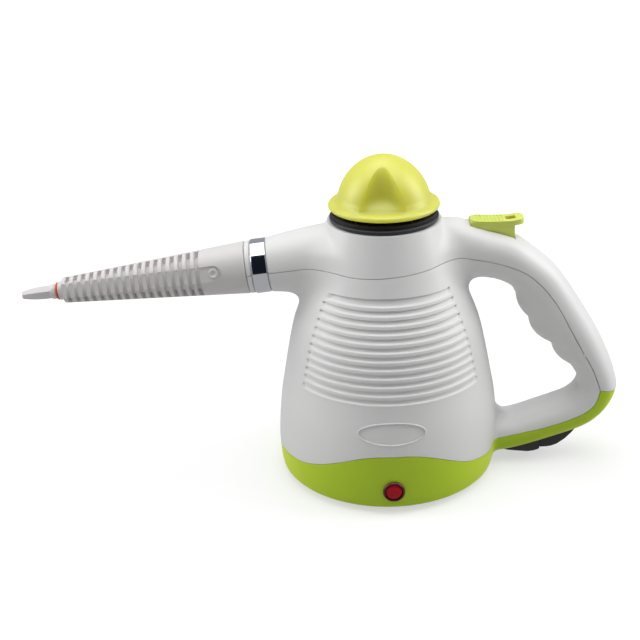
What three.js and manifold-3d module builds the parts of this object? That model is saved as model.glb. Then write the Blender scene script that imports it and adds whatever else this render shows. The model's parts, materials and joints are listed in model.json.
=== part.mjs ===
import * as THREE from 'three';
import { mergeVertices } from 'three/addons/utils/BufferGeometryUtils.js';
import Module from 'manifold-3d';

const wasm = await Module();
wasm.setup();

// Driving dimensions, in millimetres and degrees

// Whole body: the filler axis is upright, the spout points along -X and the handle along +X
const bodyRadius = 68;
const shellHeight = 162.7;
const handleReach = 144;
const footHeight = 2.5;
const wall = 2.4;
const seamGap = 0.3;
const clearance = 0.3;
const overrun = 6;

// Spout and nozzle, measured along the spout axis from the filler axis
const spoutTilt = 5.5;
const spoutAxisShare = 0.8765;
const spoutAxisHeight = spoutAxisShare * shellHeight;
const ringStart = 69.8;
const ringLength = 10.2;
const ringRadius = 16.4;
const ringWall = 1.4;
const flangeLength = 2.3;
const sleeveLength = 27.4;
const sleeveRadius = 15.8;
const finCount = 17;
const finPitch = 4.97;
const finDepth = 2.8;
const finEndRadius = 7.7;
const jetLength = 21.3;
const jetRadius = 4.6;
const spigotRadius = 9;
const steamBore = 2;
const nozzleTurn = 15;

// Handle
const handleHalfWidth = 16.5;
const fingerBump = 3.6;

// Louvres on both faces of the barrel
const louvreCount = 12;
const louvrePitch = 4.894;
const louvreDepth = 1.5;
const louvreTop = 126.9;
const louvreHalfAngle = 54;

// Filler collar and cap
const collarRadius = 32.3;
const collarHeight = 4.6;
const brimGap = 2.7;
const brimRadius = 32.9;
const brimHeight = 3.6;
const domeRadius = 27;
const capTurn = -5;
const neckRadius = 17.5;
const neckBore = 13.5;
const plugLength = 16.5;

// Boiler
const boilerWall = 2.5;
const boilerRoom = 3.1;
const boilerLip = 6;
const boilerFloor = 0.2336 * shellHeight;
const boilerRim = 0.5839 * shellHeight;
const coverTop = 0.7203 * shellHeight;

// Trigger: its length runs from the pin to the pad's rear end
const triggerLength = 36.3;
const triggerWidth = 13;
const skirtWidth = 10;

// Shapes shared by several pieces

const radians = THREE.MathUtils.degToRad;
const fine = 24;
const medium = 16;
const plain = 12;
const coarse = 10;

const white = { color: 0xe9e9e6, roughness: 0.42 };
const lime = { color: 0xa3c520, roughness: 0.38 };
const capLime = { color: 0xd3df4a, roughness: 0.38 };
const black = { color: 0x24272c, roughness: 0.45 };
const greyWhite = { color: 0xd9d6d3, roughness: 0.5 };
const chrome = { color: 0xdfe3e6, roughness: 0.06, metalness: 1 };
const steel = { color: 0xb9bcc0, roughness: 0.3, metalness: 1 };
const brass = { color: 0xc9a24e, roughness: 0.3, metalness: 1 };
const castAluminium = { color: 0xa9acaf, roughness: 0.5, metalness: 1 };
const rubber = { color: 0x2b2b2b, roughness: 0.8 };
const orangeRubber = { color: 0xd2431c, roughness: 0.5 };
const orange = { color: 0xe07a2a, roughness: 0.4 };
const redLens = { color: 0xa01018, roughness: 0.15 };
const ceramicWhite = { color: 0xe6e2d6, roughness: 0.6 };

const machine = new THREE.Group();

// Turns a closed geometry into a solid that can be cut and joined
function solid(geometry) {
  const bare = geometry.clone();
  bare.deleteAttribute('normal');
  bare.deleteAttribute('uv');
  const merged = mergeVertices(bare, 1e-4);
  const corners = merged.index.array;
  const kept = [];
  for (let i = 0; i < corners.length; i += 3) {
    const [a, b, c] = [corners[i], corners[i + 1], corners[i + 2]];
    if (a !== b && b !== c && c !== a) kept.push(a, b, c);
  }
  return new wasm.Manifold(new wasm.Mesh({
    numProp: 3,
    vertProperties: new Float32Array(merged.attributes.position.array),
    triVerts: new Uint32Array(kept),
  }));
}

// Turns a solid back into a geometry
function surface(body) {
  const mesh = body.getMesh();
  const geometry = new THREE.BufferGeometry();
  geometry.setAttribute('position', new THREE.BufferAttribute(new Float32Array(mesh.vertProperties), 3));
  geometry.setIndex(new THREE.BufferAttribute(new Uint32Array(mesh.triVerts), 1));
  geometry.computeVertexNormals();
  return geometry;
}

// Adds one named piece to a group
function piece(name, shape, look, parent = machine) {
  const geometry = shape.isBufferGeometry ? shape : surface(shape);
  const mesh = new THREE.Mesh(geometry, new THREE.MeshStandardMaterial(look));
  mesh.name = name;
  parent.add(mesh);
  return mesh;
}

// Turned solid about Z from a closed outline of [radius, height] points
function turned(points, sides = medium) {
  const outline = points.map(([radius, height]) => new THREE.Vector2(radius, height));
  outline.push(outline[0].clone());
  return solid(new THREE.LatheGeometry(outline, sides).rotateX(Math.PI / 2));
}

// Round bar about Z
function bar(radius, bottom, top, sides = coarse) {
  return turned([[0, bottom], [radius, bottom], [radius, top], [0, top]], sides);
}

// Round tube about Z
function tube(inner, outer, bottom, top, sides = medium) {
  return turned([[inner, bottom], [outer, bottom], [outer, top], [inner, top]], sides);
}

// Plate with an XZ outline, spread evenly to both sides of the plane Y = 0
function sidePlate(points, width) {
  const shape = new THREE.Shape(points.map(([x, z]) => new THREE.Vector2(x, z)));
  const plate = new THREE.ExtrudeGeometry(shape, { depth: width, bevelEnabled: false, curveSegments: 8 });
  return solid(plate.translate(0, 0, -width / 2).rotateX(Math.PI / 2));
}

// Box between two corners
function block(low, high) {
  const [x, y, z] = high.map((value, i) => value - low[i]);
  const geometry = new THREE.BoxGeometry(x, y, z);
  return solid(geometry.translate(low[0] + x / 2, low[1] + y / 2, low[2] + z / 2));
}

// Round tube or wire along a smooth route of [x, y, z] points
function routed(points, radius, sides, steps) {
  const route = new THREE.CatmullRomCurve3(points.map((p) => new THREE.Vector3(...p)), false, 'centripetal');
  const section = new THREE.Shape();
  for (let i = 0; i < sides; i += 1) {
    const turn = (2 * Math.PI * i) / sides;
    const corner = [radius * Math.cos(turn), radius * Math.sin(turn)];
    if (i === 0) section.moveTo(...corner);
    else section.lineTo(...corner);
  }
  section.closePath();
  return solid(new THREE.ExtrudeGeometry(section, { steps, extrudePath: route, curveSegments: 1 }));
}

// Spring of round wire standing on Z, with closed ends that run level
function coilSpring(meanRadius, wire, bottom, top, turns) {
  const low = bottom + wire / 2;
  const lift = top - bottom - wire;
  const stepsPerTurn = 8;
  const steps = turns * stepsPerTurn;
  const sides = 4;
  const rings = [];
  for (let i = 0; i <= steps; i += 1) {
    const share = i / steps;
    const turn = share * turns * 2 * Math.PI;
    const outward = new THREE.Vector3(Math.cos(turn), Math.sin(turn), 0);
    const centre = outward.clone().multiplyScalar(meanRadius).setZ(low + share * lift);
    for (let j = 0; j < sides; j += 1) {
      const around = (2 * Math.PI * j) / sides;
      const corner = centre.clone().addScaledVector(outward, (wire / 2) * Math.cos(around));
      corner.z += (wire / 2) * Math.sin(around);
      rings.push(corner.x, corner.y, corner.z);
    }
  }
  const faces = [];
  for (let i = 0; i < steps; i += 1) {
    for (let j = 0; j < sides; j += 1) {
      const a = i * sides + j;
      const b = i * sides + ((j + 1) % sides);
      faces.push(a, a + sides, b, b, a + sides, b + sides);
    }
  }
  const last = steps * sides;
  for (let j = 1; j < sides - 1; j += 1) {
    faces.push(0, j, j + 1, last, last + j + 1, last + j);
  }
  const geometry = new THREE.BufferGeometry();
  geometry.setAttribute('position', new THREE.Float32BufferAttribute(rings, 3));
  geometry.setIndex(faces);
  return geometry;
}

// Moves each point of an open line sideways, to the left of its direction when the distance is positive
function offsetLine(points, distance) {
  return points.map((point, i) => {
    const before = points[Math.max(i - 1, 0)];
    const after = points[Math.min(i + 1, points.length - 1)];
    const into = new THREE.Vector2(point[0] - before[0], point[1] - before[1]).normalize();
    const out = new THREE.Vector2(after[0] - point[0], after[1] - point[1]).normalize();
    const along = into.clone().add(out).normalize();
    const mitre = distance / Math.max(along.dot(into.lengthSq() ? into : out), 0.5);
    return [point[0] - along.y * mitre, point[1] + along.x * mitre];
  });
}

// Outer form of the housing

// Barrel outline from the foot to the filler collar, as shares of the body radius and the shell height
const barrelShares = [
  [0.935, 0.0], [0.99, 0.018], [1.0, 0.06], [1.003, 0.13], [0.998, 0.205], [0.98, 0.29], [0.942, 0.38],
  [0.895, 0.485], [0.835, 0.597], [0.755, 0.689], [0.665, 0.78], [0.6, 0.86], [0.55, 0.93], [0.497, 1.0],
];
const shellSpan = shellHeight - footHeight;
const barrelOutline = barrelShares.map(([across, up]) => [across * bodyRadius, footHeight + up * shellSpan]);

// Radius of the barrel's outside at a height
function barrelRadius(height) {
  for (let i = 1; i < barrelOutline.length; i += 1) {
    const [lowRadius, low] = barrelOutline[i - 1];
    const [highRadius, high] = barrelOutline[i];
    if (height <= high) return lowRadius + ((highRadius - lowRadius) * (height - low)) / (high - low);
  }
  return barrelOutline.at(-1)[0];
}

function barrel(inset, sides = fine) {
  const top = inset > 0 ? shellHeight - inset : shellHeight;
  const inner = barrelOutline.map(([radius, height]) => [radius - inset, height]);
  const kept = inner.filter(([, height]) => height > footHeight + inset && height < top);
  const floor = footHeight + inset;
  const floorRadius = inset > 0 ? kept[0][0] - inset : inner[0][0];
  const crown = barrelRadius(top) - inset;
  return turned([[0, floor], [floorRadius, floor], ...kept, [crown, top], [0, top]], sides);
}

// Frame of the spout: its +Z runs outward along the spout
const spoutLine = new THREE.Group();
spoutLine.position.z = spoutAxisHeight;
spoutLine.rotation.y = -radians(90 + spoutTilt);
machine.add(spoutLine);
spoutLine.updateMatrix();

function inSpoutFrame(body) {
  return body.transform(spoutLine.matrix.elements);
}

const ringEnd = ringStart + ringLength;
const flangeStart = ringEnd + clearance;
const flangeEnd = flangeStart + flangeLength;
const ringSeat = ringRadius - ringWall - clearance;

// Spout outline as shares of the distance to the chromed ring and of the ring's radius
const spoutRootShares = [[0.3, 1.22], [0.5, 1.24], [0.7, 1.19], [0.85, 1.11], [1.0, 1.0]];

function spoutOutside() {
  const length = ringStart - clearance;
  const root = spoutRootShares.map(([along, across]) => [across * ringRadius, along * length]);
  return inSpoutFrame(turned([
    [0, root[0][1]], ...root, [ringSeat, length], [ringSeat, flangeStart],
    [sleeveRadius, flangeStart], [sleeveRadius, flangeEnd], [0, flangeEnd],
  ], medium));
}

// Solid land inside the mouth of the spout that holds the spigot
const landLength = 18;

function spoutInside() {
  const landStart = flangeEnd - landLength;
  const root = spoutRootShares.filter(([along]) => along * ringStart < landStart);
  const points = root.map(([along, across]) => [across * ringRadius - wall, along * ringStart]);
  const last = points.at(-1)[0];
  const bore = spigotRadius + clearance;
  return inSpoutFrame(turned([
    [0, root[0][0] * ringStart - overrun], [points[0][0], points[0][1] - overrun], ...points,
    [last, landStart], [bore, landStart], [bore, flangeEnd + overrun], [0, flangeEnd + overrun],
  ], medium));
}

// Handle loop: matched points of its outer and inner edge, as shares of the reach and the shell height
const handleOuterShares = [
  [0.2, 0.99], [0.29, 0.989], [0.347, 0.976], [0.417, 0.956], [0.535, 0.917], [0.642, 0.847], [0.725, 0.775],
  [0.816, 0.655], [0.903, 0.525], [0.958, 0.421], [0.983, 0.358], [1.0, 0.295], [0.982, 0.226], [0.93, 0.162],
  [0.847, 0.119], [0.68, 0.074], [0.555, 0.044], [0.44, 0.026],
];
const handleInnerShares = [
  [0.2, 0.74], [0.3, 0.755], [0.365, 0.765], [0.42, 0.766], [0.475, 0.756], [0.525, 0.731], [0.55, 0.688],
  [0.608, 0.593], [0.708, 0.489], [0.785, 0.401], [0.82, 0.353], [0.835, 0.325], [0.828, 0.307],
  [0.803, 0.284],
  [0.765, 0.269], [0.66, 0.236], [0.555, 0.199], [0.44, 0.19],
];
const bodyShare = 0.4722;
const firstBump = 6;
const bumpCount = 3;
const stepsPerBump = 4;
const firstTight = 9;
const lastTight = 12;
const outerEdge = new THREE.SplineCurve(handleOuterShares.map(toHandle));
const innerEdge = new THREE.SplineCurve(handleInnerShares.map(toHandle));

// Distance from the filler axis at a share of the reach: the shares up to the body's own stay on the barrel
function reachAt(share) {
  if (share <= bodyShare) return (share / bodyShare) * bodyRadius;
  return bodyRadius + ((share - bodyShare) / (1 - bodyShare)) * (handleReach - bodyRadius);
}

function toHandle([reach, height]) {
  return new THREE.Vector2(reachAt(reach), height * shellHeight);
}

// Places along the loop where it is drawn, closer together on the finger pads and round the tight corner
const gripSpans = handleInnerShares.length - 1;

function gripStations(padded) {
  const stations = [];
  for (let span = 0; span < gripSpans; span += 1) {
    const onPads = padded && span >= firstBump && span < firstBump + bumpCount;
    const onCorner = padded && span >= firstTight && span <= lastTight;
    const count = onPads ? stepsPerBump : 1 + onCorner;
    for (let i = 0; i < count; i += 1) stations.push((span + i / count) / gripSpans);
  }
  return [...stations, 1];
}

// Point of the inner edge, with a rounded pad for each finger between the valleys
function gripPoint(share) {
  const point = innerEdge.getPoint(share);
  const place = share * gripSpans - firstBump;
  if (place <= 0 || place >= bumpCount) return point;
  const along = innerEdge.getTangent(share);
  const rise = fingerBump * Math.abs(Math.sin(Math.PI * place)) ** 0.8;
  return point.add(new THREE.Vector2(along.y, -along.x).multiplyScalar(rise));
}

const gripSides = 10;

// Closed loft of the handle, drawn in by a wall where it is the hollow
function handleLoft(inset) {
  const sides = gripSides;
  const positions = [];
  const faces = [];
  const padded = inset <= 0;
  const stations = gripStations(padded);
  const steps = stations.length - 1;
  for (const station of stations) {
    const outer = outerEdge.getPoint(station);
    const inner = padded ? gripPoint(station) : innerEdge.getPoint(station);
    const centre = outer.clone().add(inner).multiplyScalar(0.5);
    const reach = outer.clone().sub(inner);
    const half = reach.length() / 2 - inset;
    reach.normalize();
    for (let j = 0; j < sides; j += 1) {
      const turn = (2 * Math.PI * j) / sides;
      const across = Math.sign(Math.cos(turn)) * Math.abs(Math.cos(turn)) ** 0.85 * half;
      const side = Math.sin(turn) * (handleHalfWidth - inset);
      positions.push(centre.x + reach.x * across, side, centre.y + reach.y * across);
    }
  }
  for (let i = 0; i < steps; i += 1) {
    for (let j = 0; j < sides; j += 1) {
      const a = i * sides + j;
      const b = i * sides + ((j + 1) % sides);
      faces.push(a, a + sides, b, b, a + sides, b + sides);
    }
  }
  const last = steps * sides;
  for (let j = 1; j < sides - 1; j += 1) {
    faces.push(0, j, j + 1, last, last + j + 1, last + j);
  }
  const geometry = new THREE.BufferGeometry();
  geometry.setAttribute('position', new THREE.Float32BufferAttribute(positions, 3));
  geometry.setIndex(faces);
  return solid(geometry);
}

// Seams between the upper shell, the lower shell and the base, as shares of the reach and the shell height
const shellSeamShares = [
  [-0.72, 0.811], [-0.47, 0.839], [-0.38, 0.85], [-0.305, 0.858], [-0.14, 0.856], [0, 0.862], [0.125, 0.868],
  [0.27, 0.873], [0.31, 0.872], [0.36, 0.862], [0.437, 0.848], [0.513, 0.825], [0.572, 0.8], [0.619, 0.766],
  [0.668, 0.718], [0.719, 0.653], [0.77, 0.567], [0.821, 0.483], [0.873, 0.399], [0.91, 0.313],
];
const baseSeamShares = [
  [-0.56, 0.05], [-0.47, 0.082], [-0.44, 0.12], [-0.36, 0.147], [-0.3, 0.164], [-0.257, 0.183],
  [-0.195, 0.208],
  [-0.13, 0.229], [-0.065, 0.239], [0, 0.24], [0.065, 0.239], [0.13, 0.228], [0.195, 0.206], [0.257, 0.179],
  [0.312, 0.153], [0.375, 0.132], [0.43, 0.118], [0.5, 0.126], [0.59, 0.142], [0.7, 0.166], [0.8, 0.196],
  [0.86, 0.225], [0.895, 0.262], [0.91, 0.313],
];
const cornerSeamShares = [[0.91, 0.313], [1.0, 0.262], [1.08, 0.216]];

function seamLine(shares) {
  return shares.map(([reach, height]) => [reachAt(reach), height * shellHeight]);
}

const shellSeam = seamLine(shellSeamShares);
const baseSeam = seamLine(baseSeamShares);
const cornerSeam = seamLine(cornerSeamShares);
const far = 2 * handleReach;

// Region of the side view that each housing part fills, with half the seam's gap left on each side
function upperRegion() {
  const edge = offsetLine([...shellSeam, ...cornerSeam.slice(1)], seamGap / 2);
  return sidePlate([[-far, edge[0][1]], ...edge, [far, edge.at(-1)[1]], [far, far], [-far, far]], far);
}

function lowerRegion() {
  const edge = offsetLine([...baseSeam, ...shellSeam.slice(0, -1).reverse()], seamGap / 2);
  return sidePlate([[-far, edge[0][1]], ...edge, [-far, edge.at(-1)[1]]], far);
}

function baseRegion() {
  const edge = offsetLine([...baseSeam, ...cornerSeam.slice(1)], -seamGap / 2);
  const [first, last] = [edge[0][1], edge.at(-1)[1]];
  return sidePlate([[-far, -far], [far, -far], [far, last], ...edge.reverse(), [-far, first]], far);
}

// Ribbed faces: each louvre slopes inward as it comes down and ends in a small ledge
const louvreLedge = 0.22 * louvrePitch;

function louvredOutline() {
  const lowest = louvreTop - louvreCount * louvrePitch;
  const points = barrelOutline.filter(([, height]) => height < lowest);
  for (let i = louvreCount - 1; i >= 0; i -= 1) {
    const bottom = louvreTop - i * louvrePitch;
    points.push([barrelRadius(bottom - louvreLedge), bottom - louvreLedge]);
    points.push([barrelRadius(bottom) - louvreDepth, bottom]);
  }
  const highest = louvreTop + louvrePitch - louvreLedge;
  points.push([barrelRadius(highest), highest]);
  return [...points, ...barrelOutline.filter(([, height]) => height > highest)];
}

// The part of the barrel's front and back that the louvres cover
function louvreSectors() {
  const reach = 2 * bodyRadius;
  const side = reach * Math.tan(radians(louvreHalfAngle));
  const corners = [[0, 0], [side, -reach], [-side, -reach]];
  const sector = new THREE.Shape(corners.map((corner) => new THREE.Vector2(...corner)));
  const low = louvreTop - (louvreCount - 0.5) * louvrePitch;
  const depth = (louvreCount + 0.5) * louvrePitch;
  const front = solid(new THREE.ExtrudeGeometry(sector, { depth, bevelEnabled: false }).translate(0, 0, low));
  return front.add(front.mirror([0, 1, 0]));
}

function barrelOutside() {
  const ribbed = turned([[0, footHeight], ...louvredOutline(), [0, shellHeight]], fine);
  return barrel(0).subtract(louvreSectors()).add(ribbed);
}

// Oval recess on the front for a plain plate, and the two holes of the pilot lamp and the trigger slot
const plateHeight = 53.2;
const plateHalfLength = 19;
const plateHalfHeight = 6.7;
const plateDepth = 0.8;

function plateRecess() {
  const oval = new THREE.Shape();
  oval.absellipse(0, 0, plateHalfLength, plateHalfHeight, 0, 2 * Math.PI);
  const cut = new THREE.ExtrudeGeometry(oval, { depth: bodyRadius, bevelEnabled: false, curveSegments: 12 });
  cut.rotateX(Math.PI / 2);
  const slab = solid(cut.translate(0, 0, plateHeight));
  const core = barrel(plateDepth);
  return slab.subtract(core);
}

// Boiler seat: lugs on the lower shell carry the boiler flange, and base screws run up into bosses
const lugCount = 4;
const lugWidth = 12;
const lugHeight = 6;
const bossRadius = 5;
const bossRoom = 12;
const bossCircle = bodyRadius - bossRoom;
const bossJoint = 30;
const bossTop = 46;
const boilerFlange = barrelRadius(boilerRim) - wall - boilerRoom;
const boilerRadius = boilerFlange - boilerLip;
const screwCore = 1.6;
const flangeThickness = 3;
const cupFlangeBottom = boilerRim - flangeThickness;

function aroundAxis(body, count, start = 0) {
  const copies = [];
  for (let i = 0; i < count; i += 1) {
    copies.push(body.rotate([0, 0, start + (360 * i) / count]));
  }
  return copies;
}

function joined(bodies) {
  return bodies.reduce((whole, next) => whole.add(next));
}

function boilerLugs(housing) {
  const top = cupFlangeBottom - clearance;
  const low = [boilerRadius + 2 * wall, -lugWidth / 2, top - lugHeight];
  const lug = block(low, [bodyRadius, lugWidth / 2, top]);
  return joined(aroundAxis(lug, lugCount)).intersect(housing);
}

function shellBosses(housing) {
  const post = bar(bossRadius, bossJoint + clearance, bossTop, 8).translate([bossCircle, 0, 0]);
  const web = block([bossCircle, -wall / 2, bossJoint + clearance], [bodyRadius, wall / 2, bossTop]);
  return joined(aroundAxis(post.add(web), 4, 45)).intersect(housing);
}

function screwHoles(radius, bottom, top) {
  return joined(aroundAxis(bar(radius, bottom, top, 8).translate([bossCircle, 0, 0]), 4, 45));
}

// Trigger place: the pin sits under the front end of the slot
const pinReachShare = 0.32;
const pinHeightShare = 0.931;
const pinX = reachAt(pinReachShare);
const pinZ = pinHeightShare * shellHeight;
const pinRadius = 1.5;
const slotFront = 0.052 * triggerLength;
const slotRear = 0.893 * triggerLength;
const slotPlay = 0.6;
const earThickness = 2.4;
const earHalfLength = 4;
const earDrop = 3.6;

function triggerSlot() {
  const half = skirtWidth / 2 + slotPlay;
  return block([pinX + slotFront, -half, pinZ - 2 * overrun], [pinX + slotRear, half, shellHeight + overrun]);
}

function triggerEars(form) {
  const inner = skirtWidth / 2 + slotPlay;
  const low = [pinX - earHalfLength, inner, pinZ - earDrop];
  const ear = block(low, [pinX + earHalfLength, inner + earThickness, shellHeight]);
  const pair = ear.add(ear.mirror([0, 1, 0]));
  const across = bar(pinRadius + clearance, -bodyRadius, bodyRadius, plain).rotate([90, 0, 0]);
  const hole = across.translate([pinX, 0, pinZ]);
  return pair.intersect(form).subtract(hole);
}

const collarHole = 26.6;
const wholeForm = joined([barrelOutside(), spoutOutside(), handleLoft(0)]);
const hollow = joined([barrel(wall, medium), spoutInside(), handleLoft(wall)]);
const mouth = bar(collarHole, shellHeight - 3 * wall, shellHeight + overrun, fine);
const housing = wholeForm.subtract(hollow).subtract(mouth);

function upperShell() {
  return housing.intersect(upperRegion()).subtract(triggerSlot()).add(triggerEars(wholeForm));
}

function lowerShell() {
  const skin = housing.intersect(lowerRegion()).subtract(plateRecess());
  const core = barrel(wall / 2).intersect(lowerRegion());
  const inside = skin.add(boilerLugs(core)).add(shellBosses(core)).add(springSeat());
  return inside.subtract(screwHoles(screwCore, bossJoint - overrun, bossTop - wall));
}

// Lime base: the bowl with its screw posts, the strip under the arm, and the lamp hole
const lampHeight = 16.6;
const lampHole = 6;
const screwRadius = 1.9;
const screwHead = 3.4;
const screwSeat = 8;

function alongY(body, height) {
  return body.rotate([90, 0, 0]).translate([0, 0, height]);
}

function base() {
  const post = bar(bossRadius, footHeight, bossJoint, 8).translate([bossCircle, 0, 0]);
  const posts = joined(aroundAxis(post, 4, 45));
  const shell = housing.intersect(baseRegion()).add(posts.intersect(barrel(0)));
  const lamp = alongY(bar(lampHole, bodyRadius / 2, 2 * bodyRadius, coarse), lampHeight);
  const heads = screwHoles(screwHead + clearance, footHeight - overrun, screwSeat);
  const shanks = screwHoles(screwRadius, footHeight, bossJoint + overrun);
  const plug = housing.intersect(cordPath());
  return shell.subtract(lamp).subtract(shanks).subtract(heads).subtract(plug);
}

// Screws that hold the base to the lower shell
const screwLength = 32;
const screwHeadHeight = 2.4;

function baseScrew() {
  const head = bar(screwHead, screwSeat - screwHeadHeight - clearance, screwSeat - clearance);
  return head.add(bar(screwCore - clearance, screwSeat - 2 * clearance, screwSeat + screwLength));
}

// Rubber feet under the base
const footRadius = 7;
const footRoom = 24;
const footCircle = bodyRadius - footRoom;
const footCount = 4;

function rubberFoot() {
  const top = footHeight - clearance;
  return turned([[0, 0], [0.86 * footRadius, 0], [footRadius, top / 2], [footRadius, top], [0, top]], coarse);
}

// Black pieces under the arm: a heel pad, and the gland where the cord comes in
const padStartShare = 0.507;
const padEndShare = 0.672;
const padGapShare = 0.004;
const padHalfWidth = 9;
const padDepth = 5.2;
const glandEndShare = 0.815;
const glandHalfWidth = 8;
const glandDepth = 4.6;
const cordRadius = 3.5;

// Lower edge of the arm in the side view
function armEdge(reachShare) {
  for (let i = 0; i <= 200; i += 1) {
    const point = outerEdge.getPoint(1 - i / 400);
    if (point.x >= reachAt(reachShare)) return point.y;
  }
  return 0;
}

function underArm(startShare, endShare, halfWidth, depth, depthShares) {
  const low = [];
  const high = [];
  for (let i = 0; i < depthShares.length; i += 1) {
    const share = startShare + ((endShare - startShare) * i) / (depthShares.length - 1);
    const edge = armEdge(share);
    low.push([reachAt(share), edge - depth * depthShares[i]]);
    high.unshift([reachAt(share), edge + depth]);
  }
  const core = sidePlate([...low, ...high], 2 * halfWidth);
  const thin = sidePlate([...low.map(([x, z]) => [x, z - depth / 4]), ...high], 1.2 * halfWidth);
  return core.add(thin).subtract(handleLoft(-clearance)).subtract(barrel(-clearance));
}

function cordPath() {
  const share = (padEndShare + glandEndShare) / 2;
  return bar(cordRadius, 0, shellHeight / 4, coarse).translate([reachAt(share), 0, 0]);
}

const padShares = [0.25, 0.75, 0.95, 1, 0.8, 0.45];
const glandShares = [0.75, 0.95, 1, 0.9, 0.45];

function heelPad() {
  return underArm(padStartShare, padEndShare - padGapShare, padHalfWidth, padDepth, padShares);
}

function cordGland() {
  return underArm(padEndShare, glandEndShare, glandHalfWidth, glandDepth, glandShares).subtract(cordPath());
}

// Chromed ring in its seat on the spout
function chromeRing() {
  return tube(ringSeat + clearance, ringRadius, ringStart, ringEnd, fine);
}

// Spigot in the mouth of the spout, with the nozzle pushed over it
const spigotBack = 48;
const spigotReach = 19;
const spigotEnd = flangeEnd + spigotReach;
const ringGroove = 2.8;
const grooveDepth = 1.7;
const spigotBevel = 1;
const grooveStart = flangeEnd + 0.55 * spigotReach;

const grooveEnd = grooveStart + ringGroove;
const grooveRadius = spigotRadius - grooveDepth;

function spigot() {
  const shoulder = flangeEnd - landLength - wall;
  return turned([
    [steamBore, spigotBack], [0.6 * spigotRadius, spigotBack], [0.6 * spigotRadius, shoulder],
    [spigotRadius, shoulder], [spigotRadius, grooveStart], [grooveRadius, grooveStart],
    [grooveRadius, grooveEnd], [spigotRadius, grooveEnd], [spigotRadius, spigotEnd - spigotBevel],
    [spigotRadius - spigotBevel, spigotEnd],
    [steamBore, spigotEnd],
  ], plain);
}

function ringSeal(inner, outer, bottom, top, sides) {
  const middle = (bottom + top) / 2;
  const round = (top - bottom) / 4;
  return turned([
    [inner, middle - round], [(inner + outer) / 2, bottom], [outer, middle - round],
    [outer, middle + round], [(inner + outer) / 2, top], [inner, middle + round],
  ], sides);
}

// Ribbed nozzle: a smooth sleeve, then a tapered core that carries the fins, with a flat down each side and a
// rib along its top and its bottom
const nozzleStart = flangeEnd + clearance;
const finsStart = nozzleStart + sleeveLength;
const finsEnd = finsStart + finCount * finPitch;
const finThickness = finPitch * 0.5;
const frontLength = 3;
const frontRadius = 5.6;
const frontEnd = finsEnd + frontLength;
const socketPlay = 0.9;
const socketRadius = spigotRadius + socketPlay;
const flatHalfWidth = 4.4;
const flatDepth = 1.3;
const ribWidth = 3;

function nozzleRadius(along) {
  const share = (along - nozzleStart) / (finsEnd - nozzleStart);
  return sleeveRadius + share * (finEndRadius - sleeveRadius);
}

function nozzleOutside() {
  const outline = [[0, nozzleStart], [nozzleRadius(nozzleStart), nozzleStart]];
  outline.push([nozzleRadius(finsStart), finsStart]);
  for (let i = 0; i < finCount; i += 1) {
    const gapEnd = finsStart + (i + 1) * finPitch - finThickness;
    const finEnd = finsStart + (i + 1) * finPitch;
    const depth = finDepth * (1 - (0.35 * i) / finCount);
    outline.push([nozzleRadius(gapEnd - finThickness) - depth, gapEnd - finThickness]);
    outline.push([nozzleRadius(gapEnd) - depth, gapEnd]);
    outline.push([nozzleRadius(gapEnd), gapEnd], [nozzleRadius(finEnd), finEnd]);
  }
  outline.push([frontRadius, finsEnd], [frontRadius, frontEnd], [0, frontEnd]);
  return turned(outline, plain);
}

function nozzleInside() {
  return turned([
    [0, nozzleStart - overrun], [socketRadius, nozzleStart - overrun], [socketRadius, spigotEnd + clearance],
    [steamBore, spigotEnd + clearance], [steamBore, frontEnd - jetPlug], [jetSocket, frontEnd - jetPlug],
    [jetSocket, frontEnd + overrun], [0, frontEnd + overrun],
  ], plain);
}

function nozzle() {
  const start = nozzleRadius(finsStart);
  const end = nozzleRadius(finsEnd);
  const ribEdge = [[-start, finsStart], [start, finsStart], [end, finsEnd], [-end, finsEnd]];
  const ribs = sidePlate(ribEdge, ribWidth);
  return nozzleOutside().add(ribs).subtract(nozzleInside()).subtract(sideFlats());
}

// Flat down each side of the nozzle, round-ended on the sleeve, with a small round boss left standing in it
const bossAlong = 19.8;
const sideBossRadius = 2.9;

function sideFlats() {
  const start = nozzleStart + bossAlong;
  const slot = new THREE.Shape();
  slot.moveTo(-flatHalfWidth, finsEnd - start);
  slot.lineTo(-flatHalfWidth, 0);
  slot.absarc(0, 0, flatHalfWidth, Math.PI, 2 * Math.PI, false);
  slot.lineTo(flatHalfWidth, finsEnd - start);
  const hole = new THREE.Path();
  hole.absarc(0, 0, sideBossRadius, 0, 2 * Math.PI, true);
  slot.holes.push(hole);
  const depth = sleeveRadius;
  const cut = new THREE.ExtrudeGeometry(slot, { depth, bevelEnabled: false, curveSegments: 5 });
  const lean = Math.atan2(sleeveRadius - finEndRadius, finsEnd - nozzleStart);
  cut.rotateX(Math.PI / 2).translate(0, flatDepth - nozzleRadius(start), 0);
  cut.rotateX(lean).translate(0, 0, start);
  const one = solid(cut);
  return one.add(one.mirror([0, 1, 0]));
}

// Jet tip with its collar, and the orange ring that seals it
const jetPlug = 6;
const jetSocket = 3.2;
const tipGap = 1.6;

// Outline of the tip beyond its seal, as shares of its length and of its radius
const jetShares = [
  [0, 1], [0.12, 1], [0.134, 0.95], [0.3, 0.97], [0.5, 0.93], [0.7, 0.83], [0.86, 0.7], [0.95, 0.58],
  [1, 0.45],
];

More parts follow.
